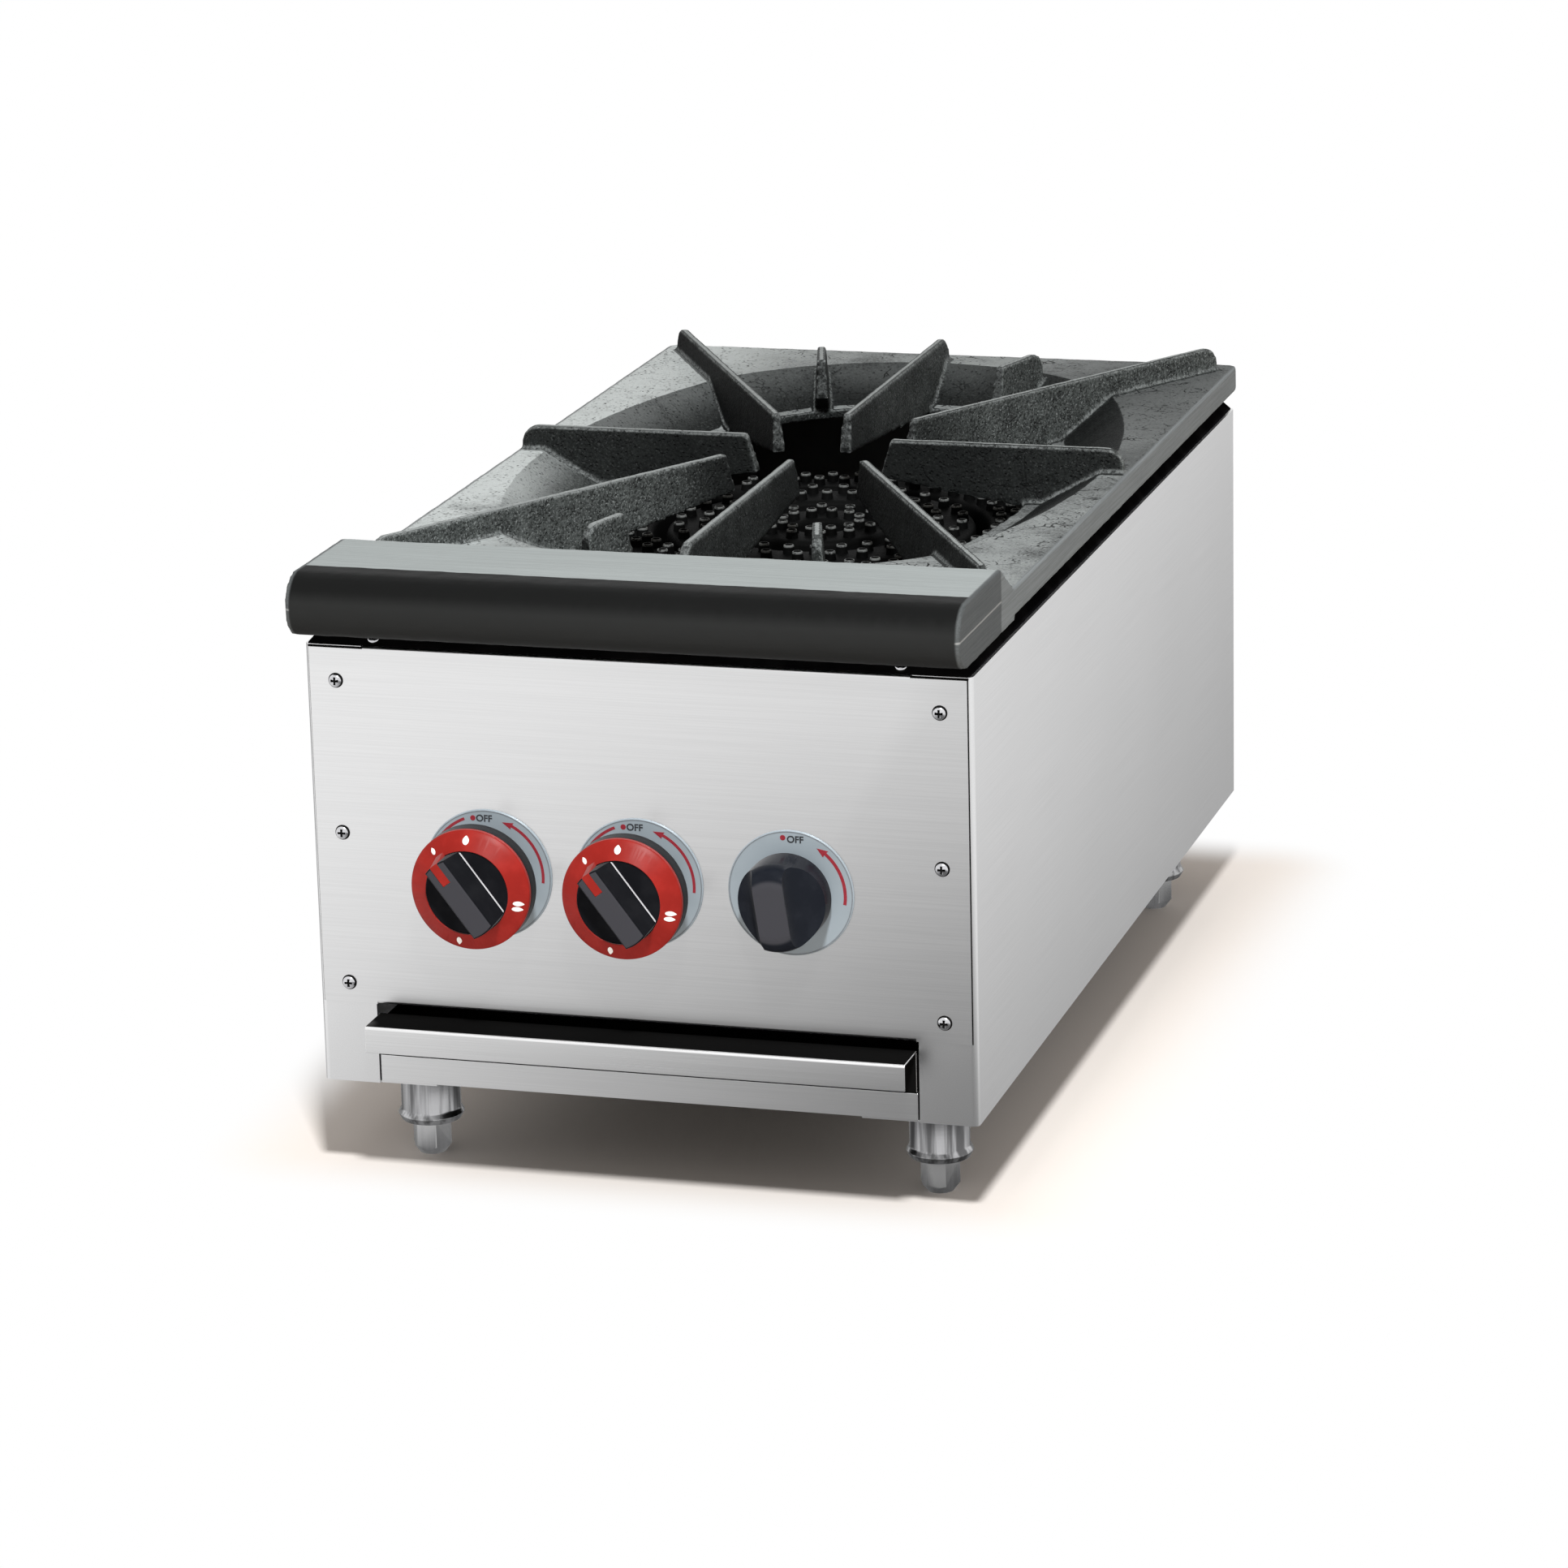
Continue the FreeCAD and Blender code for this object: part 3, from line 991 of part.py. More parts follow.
def all_nodes():
    outer_x, inner_x, pilot_x = KNOB_XS
    nodes = {f"{name}_side_panel": side_panel(s) for name, s in SIDES.items()}
    nodes["front_panel"] = front_panel()
    nodes["back_panel"] = back_panel()
    nodes["front_panel_screws"] = screw_group(SCREW_X, FRONT, -1)
    nodes["back_panel_screws"] = screw_group(BACK_SCREW_X, BACK, 1)
    nodes["front_base_rail"] = base_rail(OPENING_HALF - FIT_GAP, FRONT + SHEET, RAIL_DEPTH, RAIL_HEIGHT)
    nodes["rear_base_rail"] = base_rail(REAR_OPENING_HALF - FIT_GAP, BACK, -RAIL_DEPTH, REAR_RAIL_HEIGHT)
    nodes.update({f"{name}_tray_runner": tray_runner(s) for name, s in SIDES.items()})
    nodes["drip_tray"] = drip_tray()
    nodes["tray_pull"] = tray_pull()
    nodes["top_frame"] = top_frame()
    nodes["star_grate"] = star_grate()
    nodes["outer_burner_ring"] = outer_burner_ring()
    nodes["inner_burner_head"] = inner_burner_head()
    nodes.update({f"{name}_burner_strap": burner_strap(s) for name, s in SIDES.items()})
    nodes["front_burner_bar"] = burner_bar(STAR_Y - BAR_REACH)
    nodes["rear_burner_bar"] = burner_bar(STAR_Y + BAR_REACH)
    for name, x, ring in (("outer", outer_x, OUTER_RING), ("inner", inner_x, INNER_RING)):
        nodes[f"{name}_mixer_tube"] = mixer_tube(x, ring)
        nodes[f"{name}_injector"] = injector(x)
        nodes[f"{name}_air_shutter"] = air_shutter(x)
    nodes["gas_manifold"] = gas_manifold()
    nodes["supply_pipe"] = supply_run(PIPE_RADIUS).cut(supply_run(PIPE_RADIUS - PIPE_WALL))
    nodes["inlet_fitting"] = inlet_fitting()
    nodes["pilot_tube"] = pilot_tube()
    nodes["pilot_burner"] = pilot_burner()
    dials = (MAIN_DIAL_RADIUS, MAIN_DIAL_RADIUS, PILOT_DIAL_RADIUS)
    for name, x, radius in zip(("outer", "inner", "pilot"), KNOB_XS, dials):
        nodes[f"{name}_gas_valve"] = gas_valve(x)
        nodes[f"{name}_dial"] = dial(x, radius)
        nodes[f"{name}_knob_stem"] = knob_stem(x)
        nodes[f"{name}_stem_collar"] = stem_collar(x)
    for name, x in (("outer", outer_x), ("inner", inner_x)):
        nodes[f"{name}_knob_grip"] = knob_grip(x)
        nodes[f"{name}_knob_ring"] = knob_ring(x)
    nodes["pilot_knob_grip"] = pilot_grip(pilot_x)
    for end, y in LEG_YS.items():
        for name, s in SIDES.items():
            nodes[f"{end}_{name}_leg"] = leg(s * LEG_X, y)
            nodes[f"{end}_{name}_foot"] = levelling_foot(s * LEG_X, y)
    return nodes


def main():
    os.makedirs("parts", exist_ok=True)
    for name, shape in all_nodes().items():
        print(name, len(shape.Solids), "valid" if shape.isValid() else "NOT VALID", round(shape.Volume))
        shape.exportStep(f"parts/{name}.step")


main()
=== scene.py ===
import json
import math
from collections import namedtuple

import bmesh
import bpy
from mathutils import Matrix, Vector


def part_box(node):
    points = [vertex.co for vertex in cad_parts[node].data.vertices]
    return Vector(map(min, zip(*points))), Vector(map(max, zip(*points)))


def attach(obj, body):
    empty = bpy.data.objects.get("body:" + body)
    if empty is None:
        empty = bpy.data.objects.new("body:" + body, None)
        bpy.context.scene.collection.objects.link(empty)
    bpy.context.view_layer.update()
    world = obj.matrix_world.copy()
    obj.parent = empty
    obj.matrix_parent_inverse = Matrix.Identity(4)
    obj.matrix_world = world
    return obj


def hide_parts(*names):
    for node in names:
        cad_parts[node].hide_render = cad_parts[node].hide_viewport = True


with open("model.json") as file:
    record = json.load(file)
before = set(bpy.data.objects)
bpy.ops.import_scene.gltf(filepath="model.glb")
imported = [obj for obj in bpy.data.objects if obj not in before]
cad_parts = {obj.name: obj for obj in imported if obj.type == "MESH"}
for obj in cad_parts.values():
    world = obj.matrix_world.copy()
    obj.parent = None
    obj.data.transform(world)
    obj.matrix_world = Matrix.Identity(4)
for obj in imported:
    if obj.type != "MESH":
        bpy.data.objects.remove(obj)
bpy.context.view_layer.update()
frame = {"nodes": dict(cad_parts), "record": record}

bl_info = {
    "name": "Single burner gas range",
    "version": (1, 0, 0),
    "blender": (4, 5, 0),
    "location": "3D View > Sidebar > Gas Range",
    "description": "Finishes, fittings and studio of a single burner gas range",
    "category": "Object",
}

NODES = frame["nodes"]
RECORD = frame["record"]
BODY_OF = {node: body for body, nodes in RECORD["behaviour"]["bodies"].items() for node in nodes}

# Places that the frame gives
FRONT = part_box("front_panel")[0].y
GRATE_LOW, GRATE_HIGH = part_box("star_grate")
RING_LOW, RING_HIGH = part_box("outer_burner_ring")
STAR = Vector(((RING_LOW.x + RING_HIGH.x) / 2, (RING_LOW.y + RING_HIGH.y) / 2, RING_HIGH.z))
NOSE_SLOPE_START = FRONT + 0.068
NOSE_SLOPE_END = FRONT + 0.071
NOSE_PAINT_EDGE = GRATE_LOW.y + 0.031
PLATE_TOP = GRATE_HIGH.z - 0.019


def middle(node):
    """The middle of a node's box."""
    low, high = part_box(node)
    return (low + high) / 2


# Settings that a user may change

def length(name, default, description):
    """A size setting in metres."""
    return bpy.props.FloatProperty(name=name, description=description, default=default, min=0.0,
                                   unit="LENGTH", precision=5)


def colour(name, default, description):
    """A colour setting, linear."""
    return bpy.props.FloatVectorProperty(name=name, description=description, default=default, size=3,
                                         min=0.0, max=1.0, subtype="COLOR")


class RangeSizes(bpy.types.PropertyGroup):
    """Sizes of the detail that the solids leave to the dressing."""
    sheet_edge: length("Sheet edge", 0.0004, "Rounding of sheet edges")
    knob_edge: length("Knob edge", 0.0009, "Rounding of moulded knob edges")
    leg_edge: length("Leg edge", 0.0007, "Rounding of leg and foot edges")
    casting_grain: length("Casting grain", 0.0016, "Size of the casting's modelled surface grain")
    casting_swell: length("Casting swell", 0.0005, "Unevenness of the casting's surface")
    port_radius: length("Port radius", 0.0025, "Gas port in each burner nipple")
    port_depth: length("Port depth", 0.0045, "Depth of a gas port that can be seen")
    nipple_root: length("Nipple root", 0.0042, "Radius of a nipple where it leaves its ring")
    nipple_tip: length("Nipple tip", 0.0033, "Radius of a nipple at its rim")
    nipple_height: length("Nipple height", 0.0055, "Nipple above its ring")
    ring_bevel: length("Ring bevel", 0.003, "Bevel on top of each burner ring")
    screw_radius: length("Screw head radius", 0.0040, "Pan head of the panel screws")
    screw_height: length("Screw head height", 0.0026, "Pan head above the panel")
    cross_arm: length("Cross arm", 0.0024, "Half length of the driver cross")
    cross_half: length("Cross half width", 0.00065, "Half width of the driver cross")
    cross_depth: length("Cross depth", 0.0015, "Depth of the driver cross")
    print_thick: length("Print thickness", 0.00012, "Ink above the surface that carries it")
    letter_height: length("Letter height", 0.0041, "Height of the dial's letters")
    seam_width: length("Seam width", 0.0008, "Shadow line beside the front panel")
    ridge_width: length("Ridge width", 0.0007, "Moulded line at the foot of a knob's wing")
    thread_pitch: length("Thread pitch", 0.00181, "Pitch of the gas inlet thread")
    thread_depth: length("Thread depth", 0.0011, "Depth of the gas inlet thread")


class RangeColours(bpy.types.PropertyGroup):
    """Base colours of the finishes."""
    stainless: colour("Stainless", (0.86, 0.86, 0.862), "Brushed stainless sheet")
    galvanised: colour("Galvanised", (0.50, 0.51, 0.52), "Zinc coated steel inside the cabinet")
    screw: colour("Screw", (0.72, 0.72, 0.74), "Bright zinc screws")
    iron_dark: colour("Iron, dark", (0.008, 0.009, 0.009), "Cast iron in its hollows and on its flanks")
    iron_light: colour("Iron, light", (0.165, 0.184, 0.180), "Grain of the cast flanks")
    # Worn iron, also the painted light on upward faces and painted highlights on edges
    iron_worn_and_lit: colour("Iron, worn", (0.35, 0.378, 0.380), "Cast iron where pans and cloths rub it")
    iron_rim: colour("Iron rim", (0.210, 0.230, 0.237), "Ground sides of the casting")
    nose_paint: colour("Nose paint", (0.020, 0.021, 0.021), "Satin black front of the casting")
    nose_ground: colour("Nose ground", (0.34, 0.375, 0.378), "Ground top of the casting's front")
    burner: colour("Burner", (0.0022, 0.0023, 0.0023), "Burner castings")
    # Painted highlight on the nipple rims
    burner_rim_highlight: colour("Burner rim", (0.16, 0.168, 0.166), "Rims of the burner nipples")
    brass: colour("Brass", (0.72, 0.50, 0.20), "Valves and injectors")
    pipe: colour("Pipe", (0.035, 0.036, 0.038), "Black gas pipe")
    aluminium: colour("Aluminium", (0.70, 0.71, 0.73), "Pilot tube")
    enamel: colour("Enamel", (0.004, 0.004, 0.0045), "Black enamel of the top frame")
    knob_black: colour("Knob black", (0.0070, 0.0075, 0.0095), "Moulded main knobs")
    pilot_black: colour("Pilot black", (0.0105, 0.0125, 0.0175), "Moulded pilot knob")
    # Painted light on the fronts of the knob wings
    knob_front_light: colour("Knob, worn", (0.047, 0.048, 0.056), "Fronts of the knob wings")
    knob_red: colour("Knob red", (0.26, 0.012, 0.008), "Knob rings and pointers")
    # Painted highlight on the fine line beside a knob's wing
    knob_line_highlight: colour("Knob line", (0.62, 0.63, 0.66), "Rubbed line beside a knob's wing")
    dial: colour("Dial", (0.31, 0.365, 0.405), "Dial plates")
    dial_line: colour("Dial line", (0.16, 0.18, 0.20), "Printed rim of the dial plates")
    ink_red: colour("Red ink", (0.25, 0.008, 0.020), "Arrows and dots on the dials")
    ink_dark: colour("Dark ink", (0.012, 0.014, 0.018), "Letters on the dials")
    ink_white: colour("White ink", (0.85, 0.84, 0.82), "Marks on the knob rings")
    # Painted shade in gaps, nipple bores, screw recesses and round screw heads
    painted_shadow: colour("Seam", (0.006, 0.006, 0.006), "Gaps between the cabinet's sheets")
    # The drip tray is black as painted shade, and so are its pull's shelf and the wall behind its front
    tray_painted_shade: colour("Tray stain", (0.005, 0.005, 0.005), "Burnt on black of the drip tray and its shelf")
    leg: colour("Leg", (0.50, 0.50, 0.51), "Nickel plated legs")
    floor: colour("Floor", (0.93, 0.875, 0.825), "Studio floor")


def sizes():
    """The size settings."""
    return bpy.context.scene.range_sizes


def paint(name):
    """A colour setting as the four numbers that a node takes."""
    return (*getattr(bpy.context.scene.range_colours, name), 1.0)


def times(factor, tone):
    """A colour made darker or paler by a factor."""
    return tuple(factor * c for c in tone[:3]) + (1.0,)


def dusted(factor, lift, tone):
    """A colour made paler by a factor and a lift, as by dust or rubbing."""
    return tuple(min(1.0, factor * c + lift) for c in tone[:3]) + (1.0,)


# Shader maths

class Wire:
    """A node's output that takes part in sums, so that 1 - mask adds a Math node."""

    def __init__(self, finish, socket):
        self.finish = finish
        self.socket = socket

    def maths(self, operation, first, second):
        return self.finish.node("ShaderNodeMath", {"operation": operation}, {0: first, 1: second})

    def __add__(self, other):
        return self.maths("ADD", self, other)

    def __radd__(self, other):
        return self.maths("ADD", other, self)

    def __sub__(self, other):
        return self.maths("SUBTRACT", self, other)

    def __rsub__(self, other):
        return self.maths("SUBTRACT", other, self)

    def __mul__(self, other):
        return self.maths("MULTIPLY", self, other)

    def __rmul__(self, other):
        return self.maths("MULTIPLY", other, self)

    def __pow__(self, other):
        return self.maths("POWER", self, other)


class Finish:
    """A node tree under construction, of a material or of the world."""

    def __init__(self, owner):
        owner.use_nodes = True
        self.tree = owner.node_tree
        self.tree.nodes.clear()

    def node(self, kind, settings=None, sockets=None, output=0):
        """Adds a node: its settings first, then the values or links of its sockets."""
        node = self.tree.nodes.new(kind)
        for key, value in (settings or {}).items():
            setattr(node, key, value)
        for key, value in (sockets or {}).items():
            if isinstance(value, Wire):
                self.tree.links.new(value.socket, node.inputs[key])
            else:
                node.inputs[key].default_value = value
        return Wire(self, node.outputs[output])

    def place(self):
        """Object coordinates: the part's own frame, in metres."""
        return self.node("ShaderNodeTexCoord", output="Object")

    def stretched(self, scale):
        return self.node("ShaderNodeVectorMath", {"operation": "MULTIPLY"}, {0: self.place(), 1: scale})

    def part_of(self, vector, axis):
        return self.node("ShaderNodeSeparateXYZ", sockets={0: vector}, output=axis)

    def at(self, axis):
        """The place along an axis."""
        return self.part_of(self.place(), axis)

    def looking(self, axis):
        """How far a face looks along an axis, from -1 to 1."""
        return self.part_of(self.geometry("Normal"), axis)

    def noise(self, scale, detail=3.0, roughness=0.55, vector=None):
        return self.node("ShaderNodeTexNoise", sockets={"Vector": vector or self.place(), "Scale": scale,
                                                        "Detail": detail, "Roughness": roughness})

    def streaks(self, scale, detail=3.0):
        """Noise with a scale of its own along each axis."""
        return self.noise(1.0, detail, vector=self.stretched(scale))

    def pits(self, scale):
        """Distance from scattered points, 0 at each of them."""
        return self.node("ShaderNodeTexVoronoi", {"feature": "F1"}, {"Vector": self.place(), "Scale": scale})

    def between(self, value, low, high):
        """0 below low, 1 above high, and smooth between them."""
        return self.node("ShaderNodeMapRange", {"interpolation_type": "SMOOTHSTEP"},
                         {"Value": value, "From Min": low, "From Max": high})

    def mixed(self, share, first, second):
        """The first colour at a share of 0, the second at 1."""
        return self.node("ShaderNodeMix", {"data_type": "RGBA"}, {0: share, 6: first, 7: second}, output=2)

    def shade(self, first, second, share):
        """The first shader at a share of 0, the second at 1."""
        return self.node("ShaderNodeMixShader", sockets={0: share, 1: first, 2: second})

    def bump(self, height, strength, distance):
        return self.node("ShaderNodeBump", sockets={"Strength": strength, "Distance": distance,
                                                    "Height": height})

    def geometry(self, output):
        return self.node("ShaderNodeNewGeometry", output=output)

    def light_path(self, output):
        return self.node("ShaderNodeLightPath", output=output)

    def mirrored(self):
        """1 for what a surface mirrors or lets through."""
        return self.light_path("Is Glossy Ray") + self.light_path("Is Transmission Ray")

    def size(self, value):
        """A value without its sign."""
        return (value * value) ** 0.5

    def surface(self, **sockets):
        """A principled surface; an underscore in a socket's name stands for a space."""
        named = {key.replace("_", " "): value for key, value in sockets.items()}
        return self.node("ShaderNodeBsdfPrincipled", sockets=named)

    def out(self, shader, kind="ShaderNodeOutputMaterial"):
        sink = self.tree.nodes.new(kind)
        self.tree.links.new(shader.socket, sink.inputs["Surface"])


FINISHES = {}


def new_finish(name):
    """The empty node tree of a new material, which FINISHES keeps."""
    FINISHES[name] = bpy.data.materials.new(name)
    return Finish(FINISHES[name])


# Finishes

BRUSH_ALONG = 9.0
BRUSH_ACROSS = 1500.0
# Painted highlight on the edges of legs and feet
PAINTED_EDGE_HIGHLIGHT = (0.90, 0.90, 0.90, 1.0)
HEATED = (0.09, 0.088, 0.085, 1.0)


def brushed_steel(name, along, tone, roughness, painted_shade=None):
    """Sheet brushed along one axis, with faint handling clouds; a painted shade blackens clouds on upward
    faces and the wall just behind the front.
    """
    f = new_finish(name)
    scale = [BRUSH_ACROSS] * 3
    scale["xyz".index(along)] = BRUSH_ALONG
    brush = f.streaks(scale, detail=4.0)
    cloud = f.noise(9.0, detail=2.0)
    dark = times(0.95, tone)
    sheet = f.mixed(f.between(brush, 0.3, 0.7), dark, tone)
    metal = 1.0
    if painted_shade:
        # Painted shade: black on upward faces and on the wall just behind the front
        up, facing = f.looking("Z"), f.looking("X")
        behind = f.between(f.at("Y"), FRONT - 0.006, FRONT - 0.002) * (1 - facing * facing)
        shelf = f.between(up, 0.90, 0.99) * f.between(cloud, 0.10, 0.30)
        painted_dark = shelf + behind - shelf * behind
        sheet = f.mixed(painted_dark, sheet, painted_shade)
        metal = 1 - painted_dark
    f.out(f.surface(Base_Color=sheet, Metallic=metal, Specular_IOR_Level=0.0,
                    Roughness=roughness + 0.06 * (brush - 0.5) + 0.04 * (cloud - 0.5),
                    Normal=f.bump(brush, 0.03, 0.0002)))


def satin_steel(name, tone, roughness, depth):
    """Plated legs and feet: dark streaks, as dark as depth, that are drawing marks and painted reflections, a
    faint turning grain and painted highlights on the edges.
    """
    f = new_finish(name)
    turning = f.streaks((40.0, 40.0, 900.0))
    # Streaks: drawing marks and painted reflections of the surroundings
    drawn_and_reflected_streak = f.streaks((170.0, 170.0, 9.0))
    dark = times(depth, tone)
    # Painted highlight on sharp edges
    edge = f.between(f.geometry("Pointiness"), 0.52, 0.58)
    plated = f.mixed(f.between(drawn_and_reflected_streak, 0.36, 0.62), dark, tone)
    f.out(f.surface(Base_Color=f.mixed(edge, plated, PAINTED_EDGE_HIGHLIGHT), Metallic=1.0,
                    Roughness=roughness + 0.08 * (turning - 0.5), Normal=f.bump(turning, 0.04, 0.0002)))


def plated_steel(name, tone, roughness, grain, inside=None):
    """Bright or zinc coated parts with a fine, even grain; darker, in the heated steel's colour, on faces
    whose Y direction is inside.
    """
    f = new_finish(name)
    fine = f.noise(grain)
    spangle = f.pits(grain / 6)
    dark = times(0.88, tone)
    shown = f.mixed(f.between(spangle, 0.2, 0.8), tone, dark)
    if inside:
        facing = f.looking("Y") * inside
        shown = f.mixed(f.between(facing, 0.5, 0.9), shown, HEATED)
    f.out(f.surface(Base_Color=shown, Metallic=1.0,
                    Roughness=roughness + 0.14 * (fine - 0.5), Normal=f.bump(fine, 0.08, 0.0003)))


# Texture scales of the casting, per metre
SAND_SCALE = 560.0
PAINTED_GLINT_SCALE = 760.0
LUMP_SCALE = 70.0
PIT_SCALE = 310.0
DRIFT_SCALE = 55.0
CRACK_BEND_SCALE = 60.0
CRACK_BEND = 0.02
CRACK_SCALE = 85.0
PATCH_SCALE = 13.0
# Painted highlight along the step on the nose's ends
PAINTED_STEP_HIGHLIGHT = (0.28, 0.29, 0.29, 1.0)


def cast_iron():
    """Sand cast iron, pale on top by wear and by painted light, with painted light, shade and glints on its
    flanks, a black front rail and ground sides.
    """
    f = new_finish("cast_iron")
    dark, light, worn_and_lit = paint("iron_dark"), paint("iron_light"), paint("iron_worn_and_lit")
    sand = f.noise(SAND_SCALE, detail=5.0, roughness=0.7)
    # Painted glints: bright specks in the grain that stand for highlights
    painted_glint = f.between(f.noise(PAINTED_GLINT_SCALE, detail=2.0), 0.58, 0.70)
    lumps = f.noise(LUMP_SCALE)
    pit = f.between(f.pits(PIT_SCALE), 0.30, 0.12)

    # Where a face is and which way it looks
    up, facing = f.looking("Z"), f.looking("X")
    # Painted highlight on sharp edges, together with edge wear
    edge = f.between(f.geometry("Pointiness"), 0.53, 0.62)
    x, y, z = (f.at(axis) for axis in "XYZ")
    aside = f.size(x)
    nose = f.between(y, NOSE_SLOPE_END, NOSE_SLOPE_START)
    across, ahead = x - STAR.x, y - STAR.y
    flame = (across * across + ahead * ahead) ** 0.5
    # Painted shade on fins that stand in shade: at the rear left and in front of the middle
    rear_left_shade = f.between(across, 0.02, -0.01) * f.between(ahead, 0.005, 0.03)
    front_middle_shade = f.between(across * across, 0.0036, 0.0020) * f.between(ahead, -0.03, -0.06)

    # Flanks: painted light and shade by the way a face looks, paler where it looks right, painted shade where
    # it looks left; painted shade at the rear left and front middle; darker near the burner
    painted_flank_light = f.between(facing, -0.30, 0.85) ** 2.0 * 0.88 + 0.12
    painted_flank_light = painted_flank_light * (1 - (rear_left_shade + front_middle_shade) * 0.65) * (f.between(flame, 0.09, 0.15) * 0.6 + 0.4)
    grain = f.between(sand * 0.75 + lumps * 0.25, 0.30, 0.74)
    # Painted shade on flanks that look left
    painted_flank_shade = times(0.1, dark)
    flank = f.mixed(f.between(facing, -0.55, -0.10), painted_flank_shade, dark)
    flank = f.mixed(grain * painted_flank_light, flank, light)
    flank = f.mixed(painted_glint * painted_flank_light * 0.7, flank, worn_and_lit)
    # Painted light: faces that tilt upwards are paler
    tilted = f.between(up, 0.10, 0.50) * (1 - f.between(up, 0.70, 0.85))
    flank = f.mixed(tilted * grain * 0.7, flank, worn_and_lit)

    # Plate and fin tops: worn patches, cracks and pits; flat tops take the worn colour, which is also painted
    # light; the bowl takes it less towards its right, back and depth, as painted shade; darker towards the
    # back right, paler towards the left
    drift = f.noise(DRIFT_SCALE)
    wander = f.node("ShaderNodeTexNoise", sockets={"Vector": f.place(), "Scale": CRACK_BEND_SCALE},
                    output="Color")
    push = f.node("ShaderNodeVectorMath", {"operation": "SCALE"}, {0: wander, "Scale": CRACK_BEND})
    bent = f.node("ShaderNodeVectorMath", {"operation": "ADD"}, {0: f.place(), 1: push})
    veins = f.node("ShaderNodeTexVoronoi", {"feature": "DISTANCE_TO_EDGE"},
                   {"Vector": bent, "Scale": CRACK_SCALE})
    crack = f.between(veins, 0.045, 0.015) * f.between(drift, 0.50, 0.62)
    patches = f.noise(PATCH_SCALE, detail=4.0, roughness=0.65)
    away = f.between(x, 0.02, 0.15) * f.between(y, 0.0, 0.22)
    share = f.between(sand * 0.40 + patches * 0.60, 0.36, 0.58) * (1 - away * 0.8)
    worn = f.mixed(share, times(0.30, worn_and_lit), worn_and_lit)
    worn = f.mixed(crack * 0.9, worn, dark)
    pale = f.between(x, -0.08, -0.18) * f.between(patches + sand * 0.3, 0.26, 0.58)
    worn = f.mixed(pale * 0.95, worn, times(1.9, worn_and_lit))
    worn = f.mixed(pit * f.between(drift, 0.40, 0.58) * 0.85, worn, dark)
    level = f.between(up, 0.95, 0.985)
    brim = f.between(z, PLATE_TOP - 0.019, PLATE_TOP - 0.001) * (f.between(x, 0.10, -0.04) * 0.9 + 0.1)
    bowl = f.between(up, 0.78, 0.86) * (1 - level) * brim * (0.22 + 0.5 * f.between(y, 0.14, -0.08))
    top = level + bowl
    # Fins paler near their tops: wear together with painted highlight
    ridge = f.between(z, GRATE_HIGH.z - 0.006, GRATE_HIGH.z - 0.004)
    worn = f.mixed(ridge * f.between(sand, 0.25, 0.50), worn, worn_and_lit)
    rough = f.mixed(top * 0.95, flank, worn)
    rough = f.mixed(edge * f.between(sand, 0.30, 0.55) * 0.9, rough, worn_and_lit)

    # Front rail: painted face and ground top
    lines = f.streaks((9.0, 1300.0, 1300.0))
    ground_dark = times(0.84, paint("nose_ground"))
    ground = f.mixed(f.between(lines, 0.35, 0.65), ground_dark, paint("nose_ground"))
    ground_top = f.between(up, 0.90, 0.97) * f.between(y, NOSE_PAINT_EDGE - 0.0004, NOSE_PAINT_EDGE + 0.0004)
    shaded = times(0.35, paint("nose_paint"))
    painted = f.mixed(f.between(z, GRATE_HIGH.z - 0.016, GRATE_HIGH.z - 0.007), paint("nose_paint"), shaded)
    flat = f.mixed(ground_top, painted, ground)

    # Ground sides, with a painted highlight along the step at plate height on the nose's ends
    side = f.between(aside, GRATE_HIGH.x - 0.0032, GRATE_HIGH.x - 0.0014)
    brushed = f.streaks((900.0, 14.0, 900.0), detail=2.0)
    rim_dark = times(0.80, paint("iron_rim"))
    rim = f.mixed(f.between(brushed, 0.35, 0.65), rim_dark, paint("iron_rim"))
    rim = f.mixed(nose * 0.55, rim, dark)
    seam = f.size(z - PLATE_TOP)
    rim = f.mixed(f.between(seam, 0.0009, 0.0003) * f.between(y, NOSE_SLOPE_END, NOSE_SLOPE_START), rim,
                  PAINTED_STEP_HIGHLIGHT)

    smooth_part = nose + side - nose * side
    height = (sand * 0.9 + lumps * 0.4 - pit * 0.8 - crack * 0.6) * (1 - smooth_part * 0.98)
    iron_gloss = 0.42 + 0.25 * sand
    nose_gloss = 0.44 + 0.10 * lines
    shown = f.mixed(side, f.mixed(nose, rough, flat), rim)
    f.out(f.surface(Base_Color=shown, Specular_IOR_Level=0.04,
                    Roughness=iron_gloss * (1 - smooth_part) + nose_gloss * smooth_part,
                    Normal=f.bump(height, 0.95, 0.0014)))


def burner_iron():
    """Burner castings, nearly black, with a painted highlight on the nipple rims."""
    f = new_finish("burner_iron")
    sand = f.noise(520.0, detail=4.0, roughness=0.6)
    heat = f.noise(26.0, detail=2.0)
    # Painted highlight on the rims of the nipples
    rim = f.between(f.at("Z"), RING_HIGH.z - 0.0016, RING_HIGH.z - 0.0008)
    black = paint("burner")
    warm = f.mixed(f.between(heat, 0.40, 0.70), black, times(2.2, black))
    f.out(f.surface(Base_Color=f.mixed(rim * f.between(sand, 0.30, 0.55), warm, paint("burner_rim_highlight")),
                    Specular_IOR_Level=0.02, Roughness=0.42 + 0.2 * sand, Normal=f.bump(sand, 0.5, 0.0006)))


